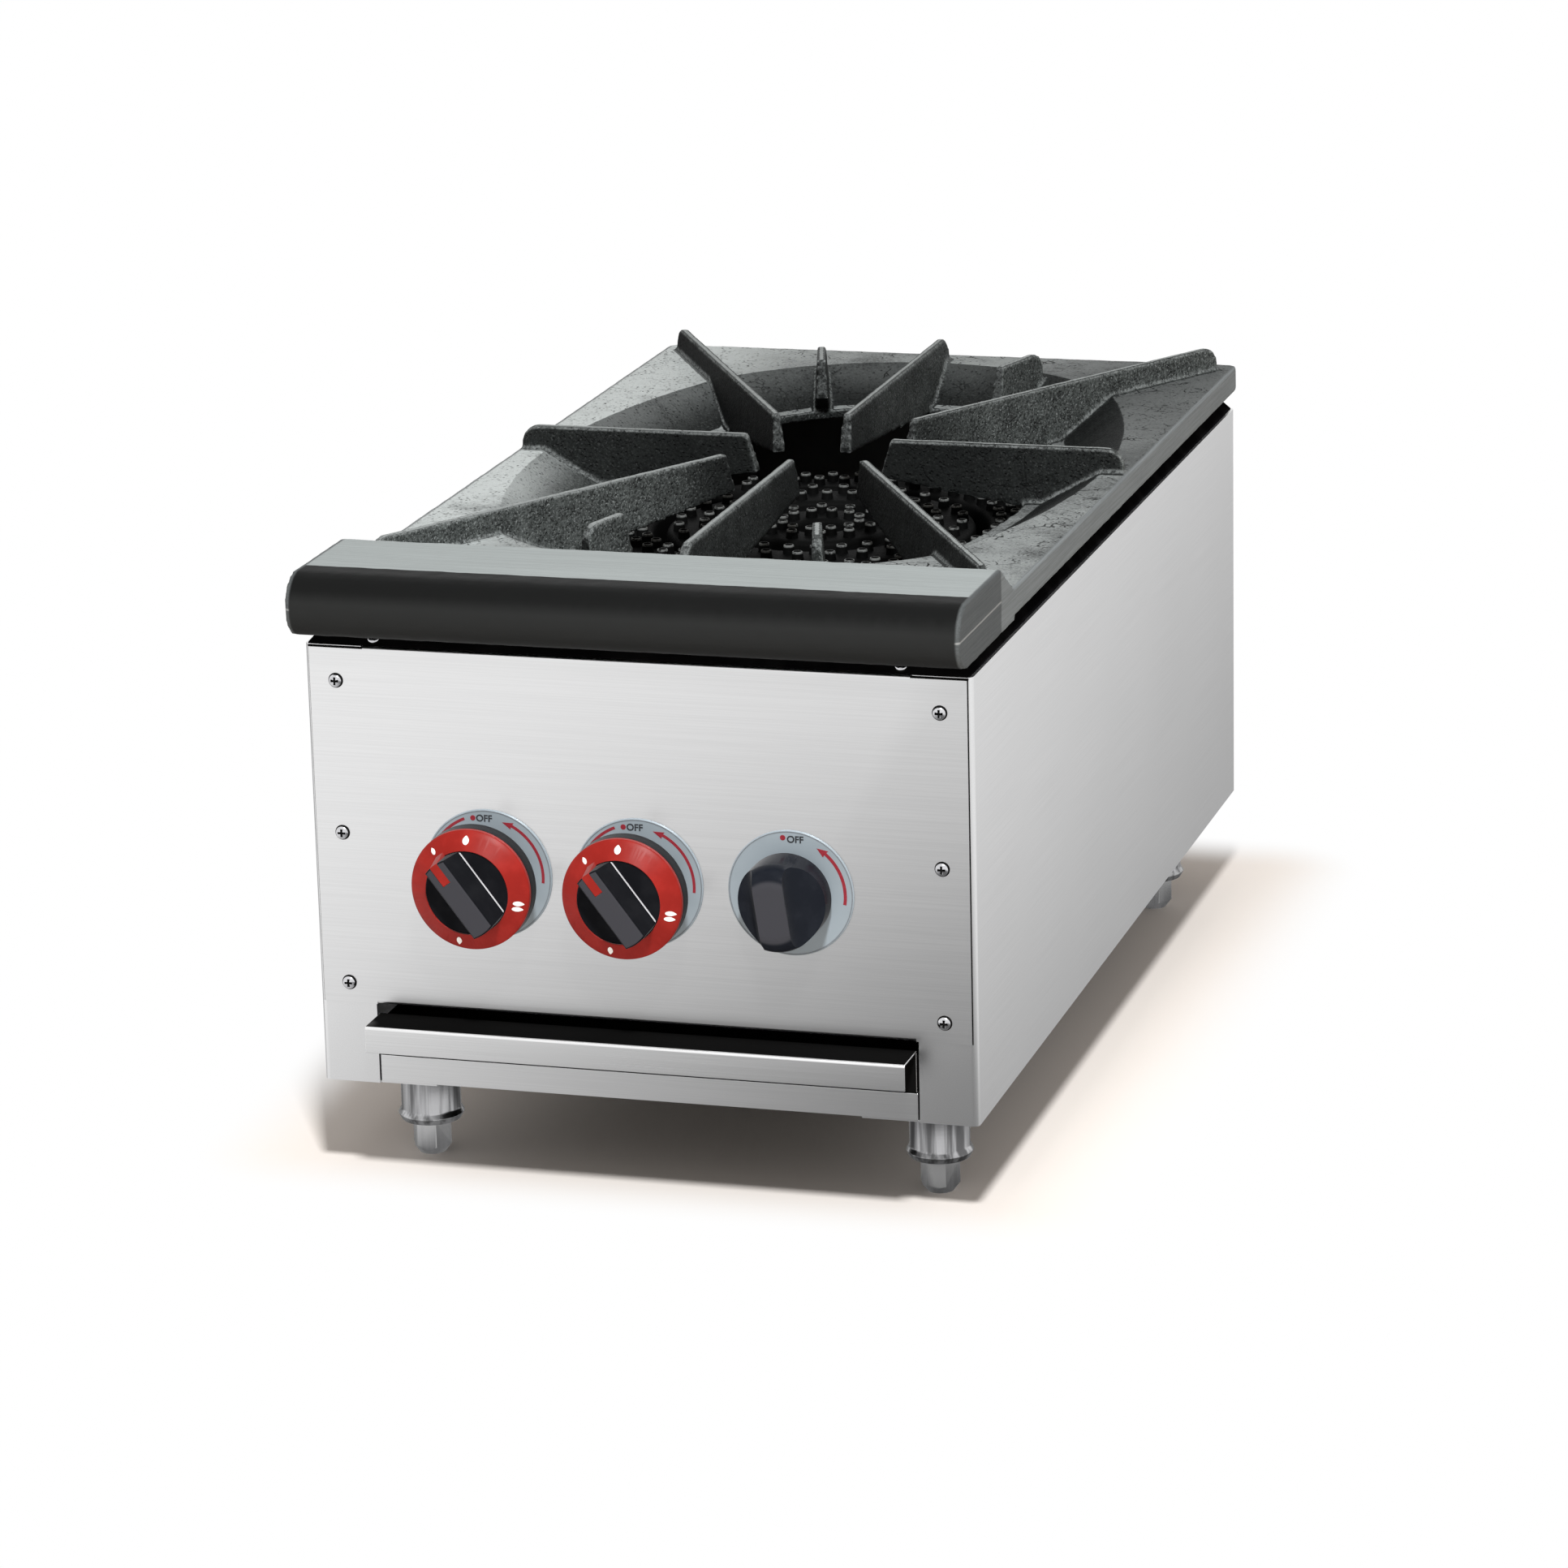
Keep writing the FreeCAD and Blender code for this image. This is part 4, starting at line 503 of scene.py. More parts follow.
def coated(name, tone, roughness, grain, depth, gloss=0.25):
    """Paint, enamel or black pipe with a fine orange peel."""
    f = new_finish(name)
    peel = f.noise(grain, detail=2.0)
    dust = f.noise(40.0, detail=4.0)
    pale = dusted(1.5, 0.004, tone)
    f.out(f.surface(Base_Color=f.mixed(f.between(dust, 0.4, 0.75), tone, pale),
                    Specular_IOR_Level=gloss, Roughness=roughness + 0.12 * (dust - 0.5),
                    Normal=f.bump(peel, 0.12, depth)))


def moulded(name, tone, roughness, front=None, gloss=0.14):
    """Moulded knob plastic: faint texture, worn patches and painted light on the frontmost faces."""
    f = new_finish(name)
    texture = f.noise(1400.0, detail=2.0)
    rub = f.noise(75.0)
    pale = dusted(1.35, 0.004, tone)
    shown = f.mixed(f.between(rub, 0.42, 0.72) * 0.6, tone, pale)
    if front:
        facing = f.between(f.looking("Y"), -0.80, -0.97)
        # Painted light on the frontmost faces
        painted_front_light = facing * f.between(f.at("Y"), front + 0.0016, front + 0.0004)
        shown = f.mixed(painted_front_light, shown, paint("knob_front_light"))
    f.out(f.surface(Base_Color=shown, Specular_IOR_Level=gloss,
                    Roughness=roughness + 0.10 * (rub - 0.5) + 0.05 * (texture - 0.5),
                    Normal=f.bump(texture, 0.10, 0.00015)))


def dial_plate():
    """Satin dial plate, pale with a fine grain."""
    f = new_finish("dial_plate")
    fine = f.noise(1100.0, detail=2.0)
    cloud = f.noise(30.0, detail=2.0)
    dark = times(0.90, paint("dial"))
    f.out(f.surface(Base_Color=f.mixed(f.between(cloud, 0.35, 0.7), paint("dial"), dark), Metallic=0.1,
                    Roughness=0.36 + 0.1 * (fine - 0.5), Normal=f.bump(fine, 0.05, 0.0002)))


def ink(name):
    """Printed ink of a colour setting, slightly uneven."""
    f = new_finish(name)
    tone = paint(name)
    patchy = f.noise(900.0)
    thin = dusted(1.25, 0.01, tone)
    f.out(f.surface(Base_Color=f.mixed(f.between(patchy, 0.45, 0.8), tone, thin),
                    Roughness=0.45 + 0.1 * patchy))


def make_finishes():
    """Makes every material but the floor's."""
    stainless = paint("stainless")
    main_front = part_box("outer_knob_grip")[0].y
    pilot_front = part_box("pilot_knob_grip")[0].y
    brushed_steel("front_sheet", "x", stainless, 0.30)
    brushed_steel("side_sheet", "y", stainless, 0.30)
    brushed_steel("tray_sheet", "x", stainless, 0.26, paint("tray_painted_shade"))
    # The drip tray painted black as shade
    coated("tray_inside", paint("tray_painted_shade"), 0.5, 700.0, 0.0003, 0.0)
    plated_steel("galvanised_steel", paint("galvanised"), 0.42, 700.0, -1.0)
    plated_steel("heated_steel", HEATED, 0.55, 700.0)
    plated_steel("screw_steel", paint("screw"), 0.16, 2200.0)
    plated_steel("brass", paint("brass"), 0.30, 900.0)
    plated_steel("aluminium", paint("aluminium"), 0.32, 1500.0)
    satin_steel("leg_steel", paint("leg"), 0.20, 0.28)
    satin_steel("foot_steel", paint("leg"), 0.24, 0.75)
    cast_iron()
    burner_iron()
    coated("frame_enamel", paint("enamel"), 0.34, 900.0, 0.0002, 0.0)
    coated("black_pipe", paint("pipe"), 0.45, 1200.0, 0.0003)
    moulded("knob_black", paint("knob_black"), 0.30, main_front, 0.025)
    moulded("pilot_black", paint("pilot_black"), 0.22, pilot_front, 0.03)
    moulded("knob_red", paint("knob_red"), 0.40, gloss=0.16)
    dial_plate()
    for name in ("ink_red", "ink_dark", "ink_white", "dial_line"):
        ink(name)
    moulded("knob_line_highlight", paint("knob_line_highlight"), 0.3)
    coated("painted_shadow", paint("painted_shadow"), 0.7, 500.0, 0.0002, 0.02)


# Mesh building

WELD = 1e-6
FLAT_ANGLE = 0.3
BEVEL_ANGLE = 35.0


def linked(name, data):
    """A new object in the scene."""
    thing = bpy.data.objects.new(name, data)
    bpy.context.scene.collection.objects.link(thing)
    return thing


def weld(shape):
    """Joins vertices that lie in one place."""
    bmesh.ops.remove_doubles(shape, verts=shape.verts, dist=WELD)


def finished(faces, index):
    """Gives faces one of their piece's finishes, by its place in the list."""
    for face in faces:
        face.material_index = index


def new_piece(name, shape, finishes, body):
    """Object from a bmesh, riding on a body, with its finishes as material slots."""
    mesh = bpy.data.meshes.new(name)
    bmesh.ops.recalc_face_normals(shape, faces=shape.faces)
    shape.to_mesh(mesh)
    shape.free()
    piece = linked(name, mesh)
    for finish in finishes:
        mesh.materials.append(FINISHES[finish])
    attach(piece, body)
    return piece


def smooth(piece, degrees=None):
    """Smooth shading, kept sharp where faces meet at more than an angle."""
    for face in piece.data.polygons:
        face.use_smooth = True
    if degrees:
        piece.data.set_sharp_from_angle(angle=math.radians(degrees))


def welded_copy(node):
    """Copy of a CAD node's mesh with its seams joined and its flat faces in one piece."""
    shape = bmesh.new()
    shape.from_mesh(NODES[node].data)
    weld(shape)
    bmesh.ops.dissolve_limit(shape, angle_limit=math.radians(FLAT_ANGLE), verts=shape.verts,
                             edges=shape.edges)
    return shape


def softened(node, name, finish, width, segments=2):
    """Stands for a CAD node with its sharp edges rounded."""
    piece = new_piece(name, welded_copy(node), [finish], BODY_OF[node])
    stale = piece.data.attributes.get("custom_normal")
    if stale:
        piece.data.attributes.remove(stale)
    smooth(piece)
    finished(piece.data.polygons, 0)
    bevel = piece.modifiers.new("rounded edges", "BEVEL")
    bevel.width = width
    bevel.segments = segments
    bevel.limit_method = "ANGLE"
    bevel.angle_limit = math.radians(BEVEL_ANGLE)
    bevel.harden_normals = True
    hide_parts(node)
    return piece


def unmirrored(*pieces):
    """Keeps pieces out of the mirror image in the brushed panel."""
    for piece in pieces:
        piece.visible_glossy = False


def dress(finish, *nodes):
    """Gives CAD nodes that stay their finish."""
    for node in nodes:
        mesh = NODES[node].data
        mesh.materials.clear()
        mesh.materials.append(FINISHES[finish])


def full_turn(steps):
    """Evenly spaced angles all round."""
    return [2 * math.pi * k / steps for k in range(steps)]


def joined(shape, lower, upper):
    """Adds the faces between two rings of vertices; a ring may be a single one."""
    steps = max(len(lower), len(upper))
    faces = []
    for k in range(steps):
        n = (k + 1) % steps
        corners = [lower[k % len(lower)], lower[n % len(lower)],
                   upper[n % len(upper)], upper[k % len(upper)]]
        unique = list(dict.fromkeys(corners))
        if len(unique) > 2:
            faces.append(shape.faces.new(unique))
    return faces


def turned(shape, profile, origin, axis, steps, closed=True):
    """Adds a profile of (radius, height) turned about an axis through origin."""
    turn = axis.to_track_quat("Z", "X").to_matrix()
    rings = []
    for radius, height in profile:
        if radius < WELD:
            rings.append([shape.verts.new(origin + turn @ Vector((0, 0, height)))])
            continue
        circle = [Vector((radius * math.cos(a), radius * math.sin(a), height)) for a in full_turn(steps)]
        rings.append([shape.verts.new(origin + turn @ point) for point in circle])
    pairs = list(zip(rings, rings[1:]))
    if closed:
        pairs.append((rings[-1], rings[0]))
    return [face for lower, upper in pairs for face in joined(shape, lower, upper)]


def patch(shape, outline, place, thick, material=0):
    """Adds a thin raised patch; place(u, v, lift) puts a point of its outline."""
    top = [shape.verts.new(place(u, v, thick)) for u, v in outline]
    low = [shape.verts.new(place(u, v, 0.0)) for u, v in outline]
    count = len(outline)
    faces = [shape.faces.new(top), shape.faces.new(low[::-1])]
    for k in range(count):
        n = (k + 1) % count
        faces.append(shape.faces.new((top[k], low[k], low[n], top[n])))
    finished(faces, material)


def arc_points(radius, start, end, steps):
    """Points on a circle between two angles in degrees."""
    turns = [math.radians(start + (end - start) * k / steps) for k in range(steps + 1)]
    return [(radius * math.cos(t), radius * math.sin(t)) for t in turns]


def arc_point(radius, angle):
    """One point on a circle."""
    return arc_points(radius, angle, angle, 1)[0]


# Pieces

SKIN_RELAX = 0.5
SKIN_PASSES = 2
SWELL_SPREAD = 0.011


def cast_grate():
    """The star grate with the rounded, uneven skin of a sand casting."""
    piece = new_piece("star_grate_casting", welded_copy("star_grate"), ["cast_iron"], "grate")
    smooth(piece)
    finished(piece.data.polygons, 0)
    grain = piece.modifiers.new("casting skin", "REMESH")
    grain.mode = "VOXEL"
    grain.voxel_size = sizes().casting_grain
    grain.use_smooth_shade = True
    relax = piece.modifiers.new("poured edges", "SMOOTH")
    relax.factor = SKIN_RELAX
    relax.iterations = SKIN_PASSES
    swell = bpy.data.textures.new("casting swell", "CLOUDS")
    swell.noise_scale = SWELL_SPREAD
    swell.noise_depth = 2
    uneven = piece.modifiers.new("uneven skin", "DISPLACE")
    uneven.texture = swell
    uneven.texture_coords = "LOCAL"
    uneven.strength = sizes().casting_swell
    uneven.mid_level = 0.5
    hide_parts("star_grate")


def ring_profile(inner, outer, low, top):
    """Section of a burner ring, bevelled on top."""
    bevel = sizes().ring_bevel
    return [(inner, low), (outer, low), (outer, top - bevel), (outer - bevel / 3, top - bevel / 3),
            (outer - bevel, top), (inner + bevel, top), (inner + bevel / 3, top - bevel / 3),
            (inner, top - bevel)]


NIPPLE_STEPS = 12
NIPPLE_SUNK = 0.0008
NIPPLE_FILLET = 0.0004
NIPPLE_LIP = 0.0003
NIPPLE_WAIST = 0.93
BORE_TAPER = 0.9
NIPPLE_ROW_EDGE = 0.008


def nipple(shape, foot):
    """A port nipple: a short frustum round a bore that is painted black as shade."""
    s = sizes()
    up = Vector((0, 0, 1))
    height, port_end = s.nipple_height, s.nipple_height - s.port_depth
    body = [(s.nipple_root, -NIPPLE_SUNK), (s.nipple_root * NIPPLE_WAIST, NIPPLE_FILLET),
            (s.nipple_tip, height - NIPPLE_LIP), (s.nipple_tip - NIPPLE_FILLET, height),
            (s.port_radius, height)]
    turned(shape, body, foot, up, NIPPLE_STEPS, closed=False)
    # The bore is painted black as shade
    bore = [(s.port_radius, height), (s.port_radius * BORE_TAPER, port_end), (0.0, port_end)]
    finished(turned(shape, bore, foot, up, NIPPLE_STEPS, closed=False), 1)


def nipple_rows(shape, inner, outer, count, top):
    """Two staggered rows of nipples on a ring."""
    for row, radius in enumerate((inner + NIPPLE_ROW_EDGE, outer - NIPPLE_ROW_EDGE)):
        for k in range(count):
            angle = 2 * math.pi * (k + row / 2) / count
            nipple(shape, Vector((STAR.x + radius * math.cos(angle), STAR.y + radius * math.sin(angle), top)))


# Inner radius, outer radius and nipples in a row of each ring
OUTER_RING = (0.106, 0.132, 44)
MIDDLE_RING = (0.066, 0.098, 28)
INNER_RING = (0.017, 0.044, 12)
SPOKES = 3
SPOKE_WIDTH = 0.018
SPOKE_DROP = 0.007
RING_STEPS = 96
BURNER_SHARP = 40.0


def burner_casting(name, node, rings, spokes):
    """Burner head with bevelled rings, drilled nipples and the spokes between its rings."""
    low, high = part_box(node)
    top = high.z - sizes().nipple_height
    shape = bmesh.new()
    for inner, outer, count in rings:
        turned(shape, ring_profile(inner, outer, low.z, top), Vector((STAR.x, STAR.y, 0)), Vector((0, 0, 1)),
               RING_STEPS)
        nipple_rows(shape, inner, outer, count, top)
    for k in range(spokes):
        start = (INNER_RING[0] + INNER_RING[1]) / 2
        end = (MIDDLE_RING[0] + MIDDLE_RING[1]) / 2
        turn = Matrix.Rotation(math.radians(90 + 360 * k / spokes), 4, "Z")
        bar = bmesh.ops.create_cube(shape, size=1.0)["verts"]
        height = top - SPOKE_DROP - low.z
        bmesh.ops.scale(shape, vec=(end - start, SPOKE_WIDTH, height), verts=bar)
        bmesh.ops.translate(shape, vec=((start + end) / 2, 0, low.z + height / 2), verts=bar)
        bmesh.ops.transform(shape, matrix=Matrix.Translation((STAR.x, STAR.y, 0)) @ turn, verts=bar)
    weld(shape)
    piece = new_piece(name, shape, ["burner_iron", "painted_shadow"], "cabinet")
    smooth(piece, BURNER_SHARP)
    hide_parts(node)


SCREW_GAP = 0.0005
SCREW_SEAT = 0.0045
SCREW_STEPS = 32
DOME_TURNS = (0.35, 0.7, 0.95)
DOME_FOOT = 0.35
DOME_RISE = 0.55
DOME_CROWN = 0.93
CROSS_TAPER = 0.8
HALO_HEIGHT = 0.00012
HALO_SUNK = 0.0001
HALO_INNER = 0.98
SHANK_SHARE = 0.55
SHANK_TIP = 0.6
SHANK_END = -0.009
SHANK_TAPER = -0.0075
SCREW_SHARP = 35.0


def screw_head(shape, seat, out):
    """A domed pan head with a cross recess, its seat at a point and pointing along out; its lower flank, its
    recess and a thin ring round it are painted shade.
    """
    s = sizes()
    arm, half, deep = s.cross_arm, s.cross_half, s.cross_depth
    dome = [(s.screw_radius, 0.0), (s.screw_radius, s.screw_height * DOME_FOOT)]
    dome += [(s.screw_radius * math.cos(t), s.screw_height * (DOME_FOOT + DOME_RISE * math.sin(t)))
             for t in DOME_TURNS]
    crown = s.screw_height * DOME_CROWN
    # Painted shade on the lower flank of the dome
    finished(turned(shape, dome[:3], seat, out, SCREW_STEPS, closed=False), 1)
    turned(shape, dome[2:], seat, out, SCREW_STEPS, closed=False)
    turn = out.to_track_quat("Z", "X").to_matrix()
    rim_radius = dome[-1][0]
    rim = [(rim_radius * math.cos(t), rim_radius * math.sin(t)) for t in full_turn(SCREW_STEPS)]
    cross = [(arm, -half), (arm, half), (half, half), (half, arm), (-half, arm), (-half, half), (-arm, half),
             (-arm, -half), (-half, -half), (-half, -arm), (half, -arm), (half, -half)]

    def put(u, v, height):
        return shape.verts.new(seat + turn @ Vector((u, v, height)))

    outer = [put(u, v, dome[-1][1]) for u, v in rim]
    upper = [put(u, v, crown) for u, v in cross]
    lower = [put(u * CROSS_TAPER, v * CROSS_TAPER, crown - deep) for u, v in cross]
    edges = []
    for ring in (outer, upper):
        edges += [shape.edges.new((ring[k], ring[(k + 1) % len(ring)])) for k in range(len(ring))]
    bmesh.ops.triangle_fill(shape, edges=edges, use_beauty=True)
    # Painted shade in the cross recess
    finished([shape.faces.new(lower)] + joined(shape, upper, lower), 1)
    # A thin ring of painted shadow round the head
    halo = s.screw_radius + SCREW_GAP
    shadow = [(halo, -HALO_SUNK), (halo, HALO_HEIGHT), (s.screw_radius * HALO_INNER, HALO_HEIGHT)]
    finished(turned(shape, shadow, seat, out, SCREW_STEPS, closed=False), 1)
    shank = s.screw_radius * SHANK_SHARE
    below = [(0.0, SHANK_END), (shank * SHANK_TIP, SHANK_END), (shank, SHANK_TAPER), (shank, 0.0),
             (s.screw_radius, 0.0)]
    turned(shape, below, seat, out, SCREW_STEPS, closed=False)


def screws(name, seats, out):
    """One piece of screws that all point along out."""
    shape = bmesh.new()
    for seat in seats:
        screw_head(shape, seat, out)
    weld(shape)
    piece = new_piece(name, shape, ["screw_steel", "painted_shadow"], "cabinet")
    smooth(piece, SCREW_SHARP)
    return piece


def panel_screws(name, node, out):
    """The six screws of one panel."""
    low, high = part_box(node)
    seat = high.y - sizes().screw_height if out > 0 else low.y + sizes().screw_height
    heights = (low.z + SCREW_SEAT, (low.z + high.z) / 2, high.z - SCREW_SEAT)
    seats = [Vector((x, seat, z)) for x in (low.x + SCREW_SEAT, high.x - SCREW_SEAT) for z in heights]
    piece = screws(name, seats, Vector((0, out, 0)))
    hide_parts(node)


SEAM_DEPTH = 0.0012
NOTCH_FROM = 0.164
NOTCH_HEIGHT = 0.0015


def panel_seams():
    """Painted shadow strips in the gaps beside the front panel and over its upright ends."""
    low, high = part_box("front_panel")
    wide = sizes().seam_width
    shape = bmesh.new()

    def strip(x0, x1, z0, z1):
        def place(u, v, lift):
            return Vector((u, FRONT + SEAM_DEPTH - lift, v))
        middle_z = (z0 + z1) / 2
        patch(shape, [(x0, z0), (x1, z0), (x1, middle_z), (x1, z1), (x0, z1), (x0, middle_z)], place,
              sizes().print_thick)

    for side in (-1, 1):
        x0, x1 = sorted((side * (high.x - wide / 4), side * (high.x + wide * 3 / 4)))
        strip(x0, x1, low.z, high.z - NOTCH_HEIGHT)
        x0, x1 = sorted((side * NOTCH_FROM, side * (high.x + wide)))
        strip(x0, x1, high.z - NOTCH_HEIGHT, high.z - NOTCH_HEIGHT / 4)
    new_piece("front_panel_seams", shape, ["painted_shadow"], "cabinet")


FRAME_SCREW_X = (-0.158, 0.158)
FRAME_LEAN = 0.007


def frame_screws():
    """Two small screws in the front of the top frame."""
    low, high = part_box("top_frame")
    rise = high.z - low.z
    seats = [Vector((x, low.y + FRAME_LEAN / 2, low.z + rise / 2)) for x in FRAME_SCREW_X]
    screws("top_frame_screws", seats, Vector((0, -rise, FRAME_LEAN)).normalized())


INLET_SLEEVE = 0.015
INLET_FLANGE = 0.005
INLET_BODY = 0.013
INLET_CREST = 0.01048
INLET_THREAD = 0.012
INLET_BORE = 0.0068
INLET_SEAT = 0.0154
INLET_ROWS = 48
INLET_STEPS = 48
INLET_SHARP = 30.0


def threaded_inlet():
    """The gas inlet with its flange, cut thread and bore."""
    low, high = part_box("inlet_fitting")
    flange_radius = (high.x - low.x) / 2
    pitch, deep = sizes().thread_pitch, sizes().thread_depth
    flange_end = high.y - INLET_SEAT
    shoulder = high.y - INLET_THREAD
    flange_start = flange_end - INLET_FLANGE
    stations = [(low.y, INLET_BORE, 0), (low.y, INLET_SLEEVE, 0), (flange_start, INLET_SLEEVE, 0),
                (flange_start, flange_radius, 0), (flange_end, flange_radius, 0),
                (flange_end, INLET_BODY, 0), (shoulder, INLET_BODY, 0)]
    stations += [(shoulder + INLET_THREAD * k / INLET_ROWS, INLET_CREST, 0 if k == 0 else 1)
                 for k in range(INLET_ROWS + 1)]
    stations += [(high.y, INLET_BORE, 0)]
    shape = bmesh.new()
    rings = []
    for y, radius, cut in stations:
        ring = []
        for k, turn in enumerate(full_turn(INLET_STEPS)):
            groove = abs(2 * ((y / pitch + k / INLET_STEPS) % 1.0) - 1)
            r = radius - cut * deep * groove
            ring.append(shape.verts.new(((low.x + high.x) / 2 + r * math.cos(turn), y,
                                         (low.z + high.z) / 2 + r * math.sin(turn))))
        rings.append(ring)
    for first, second in zip(rings, rings[1:] + rings[:1]):
        joined(shape, first, second)
    piece = new_piece("inlet_threaded", shape, ["brass"], BODY_OF["inlet_fitting"])
    smooth(piece, INLET_SHARP)
    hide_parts("inlet_fitting")


# Dials and knobs

# Where a dial's print stands: angles in degrees from the right
DialPrint = namedtuple("DialPrint", "arrow tail arrow_width off_angle dot_angle left_arc")
MAIN_PRINT = DialPrint(73.0, -6.0, 0.0017, 92.0, 103.5, (112.0, 168.0))
PILOT_PRINT = DialPrint(60.0, -9.0, 0.0019, 84.0, 97.0, None)

# Radii of the print as shares of the dial's; the dot and the rim line's width in metres, turns in degrees
PRINT_RADIUS = 0.865
OFF_RADIUS = 0.86
DOT_RADIUS = 0.0016
DOT_OUT = 1.03
DOT_TURN = 15
ARROW_HEAD_TURN = 11.0
ARROW_HEAD_WIDTH = 2.6
ARROW_OVERLAP = 2
ARROW_TIP = 0.99
HEAD_LIFT = 1.1
LEFT_ARC = 1.05
RIM_LINE = 0.975
RIM_LINE_WIDTH = 0.0006
RIM_LINE_TURN = 45
LETTER_SCALE = 1.38
LETTER_BOLD = 0.03
LETTER_LIFT = 0.6
BAND_STEPS = 24


def band(radius, start, end, width):
    """Outline of a curved stroke."""
    outer = arc_points(radius + width / 2, start, end, BAND_STEPS)
    inner = arc_points(radius - width / 2, start, end, BAND_STEPS)
    return outer + inner[::-1]


def letters(text, height):
    """Flat mesh of a word, its middle on the origin."""
    curve = bpy.data.curves.new("dial letters", "FONT")
    curve.body = text
    curve.size = height * LETTER_SCALE
    curve.align_x = "CENTER"
    curve.align_y = "CENTER"
    curve.extrude = sizes().print_thick
    curve.offset = height * LETTER_BOLD
    holder = bpy.data.objects.new("dial letters", curve)
    mesh = bpy.data.meshes.new_from_object(holder)
    bpy.data.objects.remove(holder)
    bpy.data.curves.remove(curve)
    return mesh


def dial_print(knob, plan):
    """Arrow, arc, dot and OFF on a knob's dial plate."""
    low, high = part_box(f"{knob}_dial")
    centre = (low + high) / 2
    radius = (high.x - low.x) / 2
    thick = sizes().print_thick
    shape = bmesh.new()

    def place(u, v, lift):
        return Vector((centre.x + u, low.y - lift, centre.z + v))

    ring = PRINT_RADIUS * radius
    neck = plan.arrow - ARROW_HEAD_TURN
    patch(shape, band(ring, plan.tail, neck + ARROW_OVERLAP, plan.arrow_width), place, thick)
    head = ARROW_HEAD_WIDTH * plan.arrow_width / 2
    tip = arc_point(ring * ARROW_TIP, plan.arrow)
    barbs = [arc_point(ring + side * head, neck) for side in (1, -1)]
    patch(shape, [barbs[0], tip, barbs[1], arc_point(ring, neck + 1)], place, thick * HEAD_LIFT)
    if plan.left_arc:
        patch(shape, band(ring * LEFT_ARC, *plan.left_arc, plan.arrow_width), place, thick)
    dot = arc_point(OFF_RADIUS * radius * DOT_OUT, plan.dot_angle)
    dot_edge = arc_points(DOT_RADIUS, 0, 360 - DOT_TURN, 360 // DOT_TURN - 1)
    circle = [(dot[0] + u, dot[1] + v) for u, v in dot_edge]
    patch(shape, circle, place, thick)
    word = letters("OFF", sizes().letter_height)
    at = arc_point(OFF_RADIUS * radius, plan.off_angle)
    upright = Matrix.Rotation(math.radians(90), 4, "X")
    depth = low.y - thick * LETTER_LIFT
    word.transform(Matrix.Translation((centre.x + at[0], depth, centre.z + at[1])) @ upright)
    before = len(shape.faces)
    shape.from_mesh(word)
    bpy.data.meshes.remove(word)
    shape.faces.ensure_lookup_table()
    finished(shape.faces[before:], 1)
    for start in range(0, 360, RIM_LINE_TURN):
        patch(shape, band(radius * RIM_LINE, start, start + RIM_LINE_TURN, RIM_LINE_WIDTH), place, thick, 2)
    new_piece(f"{knob}_dial_print", shape, ["ink_red", "ink_dark", "dial_line"], "cabinet")


FACE_RADIUS = 0.025
FACE_FRONT = 0.039
RING_SLOPE = 0.6
RING_FRONT = 0.040
MARK_RADIUS = 0.0308
MARK_SUNK = 0.0004
MARK_LIFT = 5
DROP_STEPS = 18
DROP_POINT = 0.55
DROP_CURVE = 1.5
WING_TURN = 127.0
WING_FOOT_HALF = 0.0112
RIDGE_SUNK = 0.0003
RIDGE_LIFT = 6
RIDGE_INSET = 0.0008

# Angle in degrees, length outward, width, and place beside the middle line of each mark
RING_MARKS = (
    (131.6, 0.0042, 0.0026, 0.0),
    (90.6, 0.0048, 0.0040, 0.0),
    (-13.5, 0.0060, 0.0029, 0.0017),
    (-13.5, 0.0060, 0.0029, -0.0017),
    (-102.5, 0.0055, 0.0032, 0.0),
)


def drop_outline(size, width):
    """A drop, round at its foot and pointed at its outer end."""
    points = []
    for t in full_turn(DROP_STEPS):
        out = math.cos(t)
        narrow = 1 - DROP_POINT * max(out, 0.0) ** DROP_CURVE
        points.append((size / 2 * out, width / 2 * math.sin(t) * narrow))
    return points


def spun(out, across, turn):
    """A point of the dial's plane, turned about its middle."""
    return (out * math.cos(turn) - across * math.sin(turn),
            out * math.sin(turn) + across * math.cos(turn))


def ring_marks(knob):
    """White marks on the sloping face of a knob ring."""
    centre = middle(f"{knob}_dial")
    shape = bmesh.new()
    for angle, size, width, beside in RING_MARKS:
        turn = math.radians(angle)

        def place(u, v, lift):
            x, z = spun(MARK_RADIUS + u, beside + v, turn)
            depth = FRONT - RING_FRONT + RING_SLOPE * (math.hypot(x, z) - FACE_RADIUS)
            return Vector((centre.x + x, depth + MARK_SUNK - lift * MARK_LIFT, centre.z + z))

        patch(shape, drop_outline(size, width), place, sizes().print_thick)
    new_piece(f"{knob}_ring_marks", shape, ["ink_white"], f"{knob}_knob")


def wing_ridges(knob):
    """Two fine moulded lines where a knob's wing meets its face, pale as a painted highlight."""
    centre = middle(f"{knob}_dial")
    turn = math.radians(WING_TURN)
    wide = sizes().ridge_width
    reach = math.sqrt((FACE_RADIUS - RIDGE_INSET) ** 2 - WING_FOOT_HALF ** 2)
    shape = bmesh.new()

    def place(u, v, lift):
        x, z = spun(u, v, turn)
        return Vector((centre.x + x, FRONT - FACE_FRONT + RIDGE_SUNK - lift * RIDGE_LIFT, centre.z + z))

    for side in (-1, 1):
        near, far = side * WING_FOOT_HALF, side * (WING_FOOT_HALF + wide)
        outline = [(-reach, near), (reach, near), (reach - wide, far), (-reach + wide, far)]
        patch(shape, outline, place, sizes().print_thick)
    new_piece(f"{knob}_wing_ridges", shape, ["knob_line_highlight"], f"{knob}_knob")


# Studio

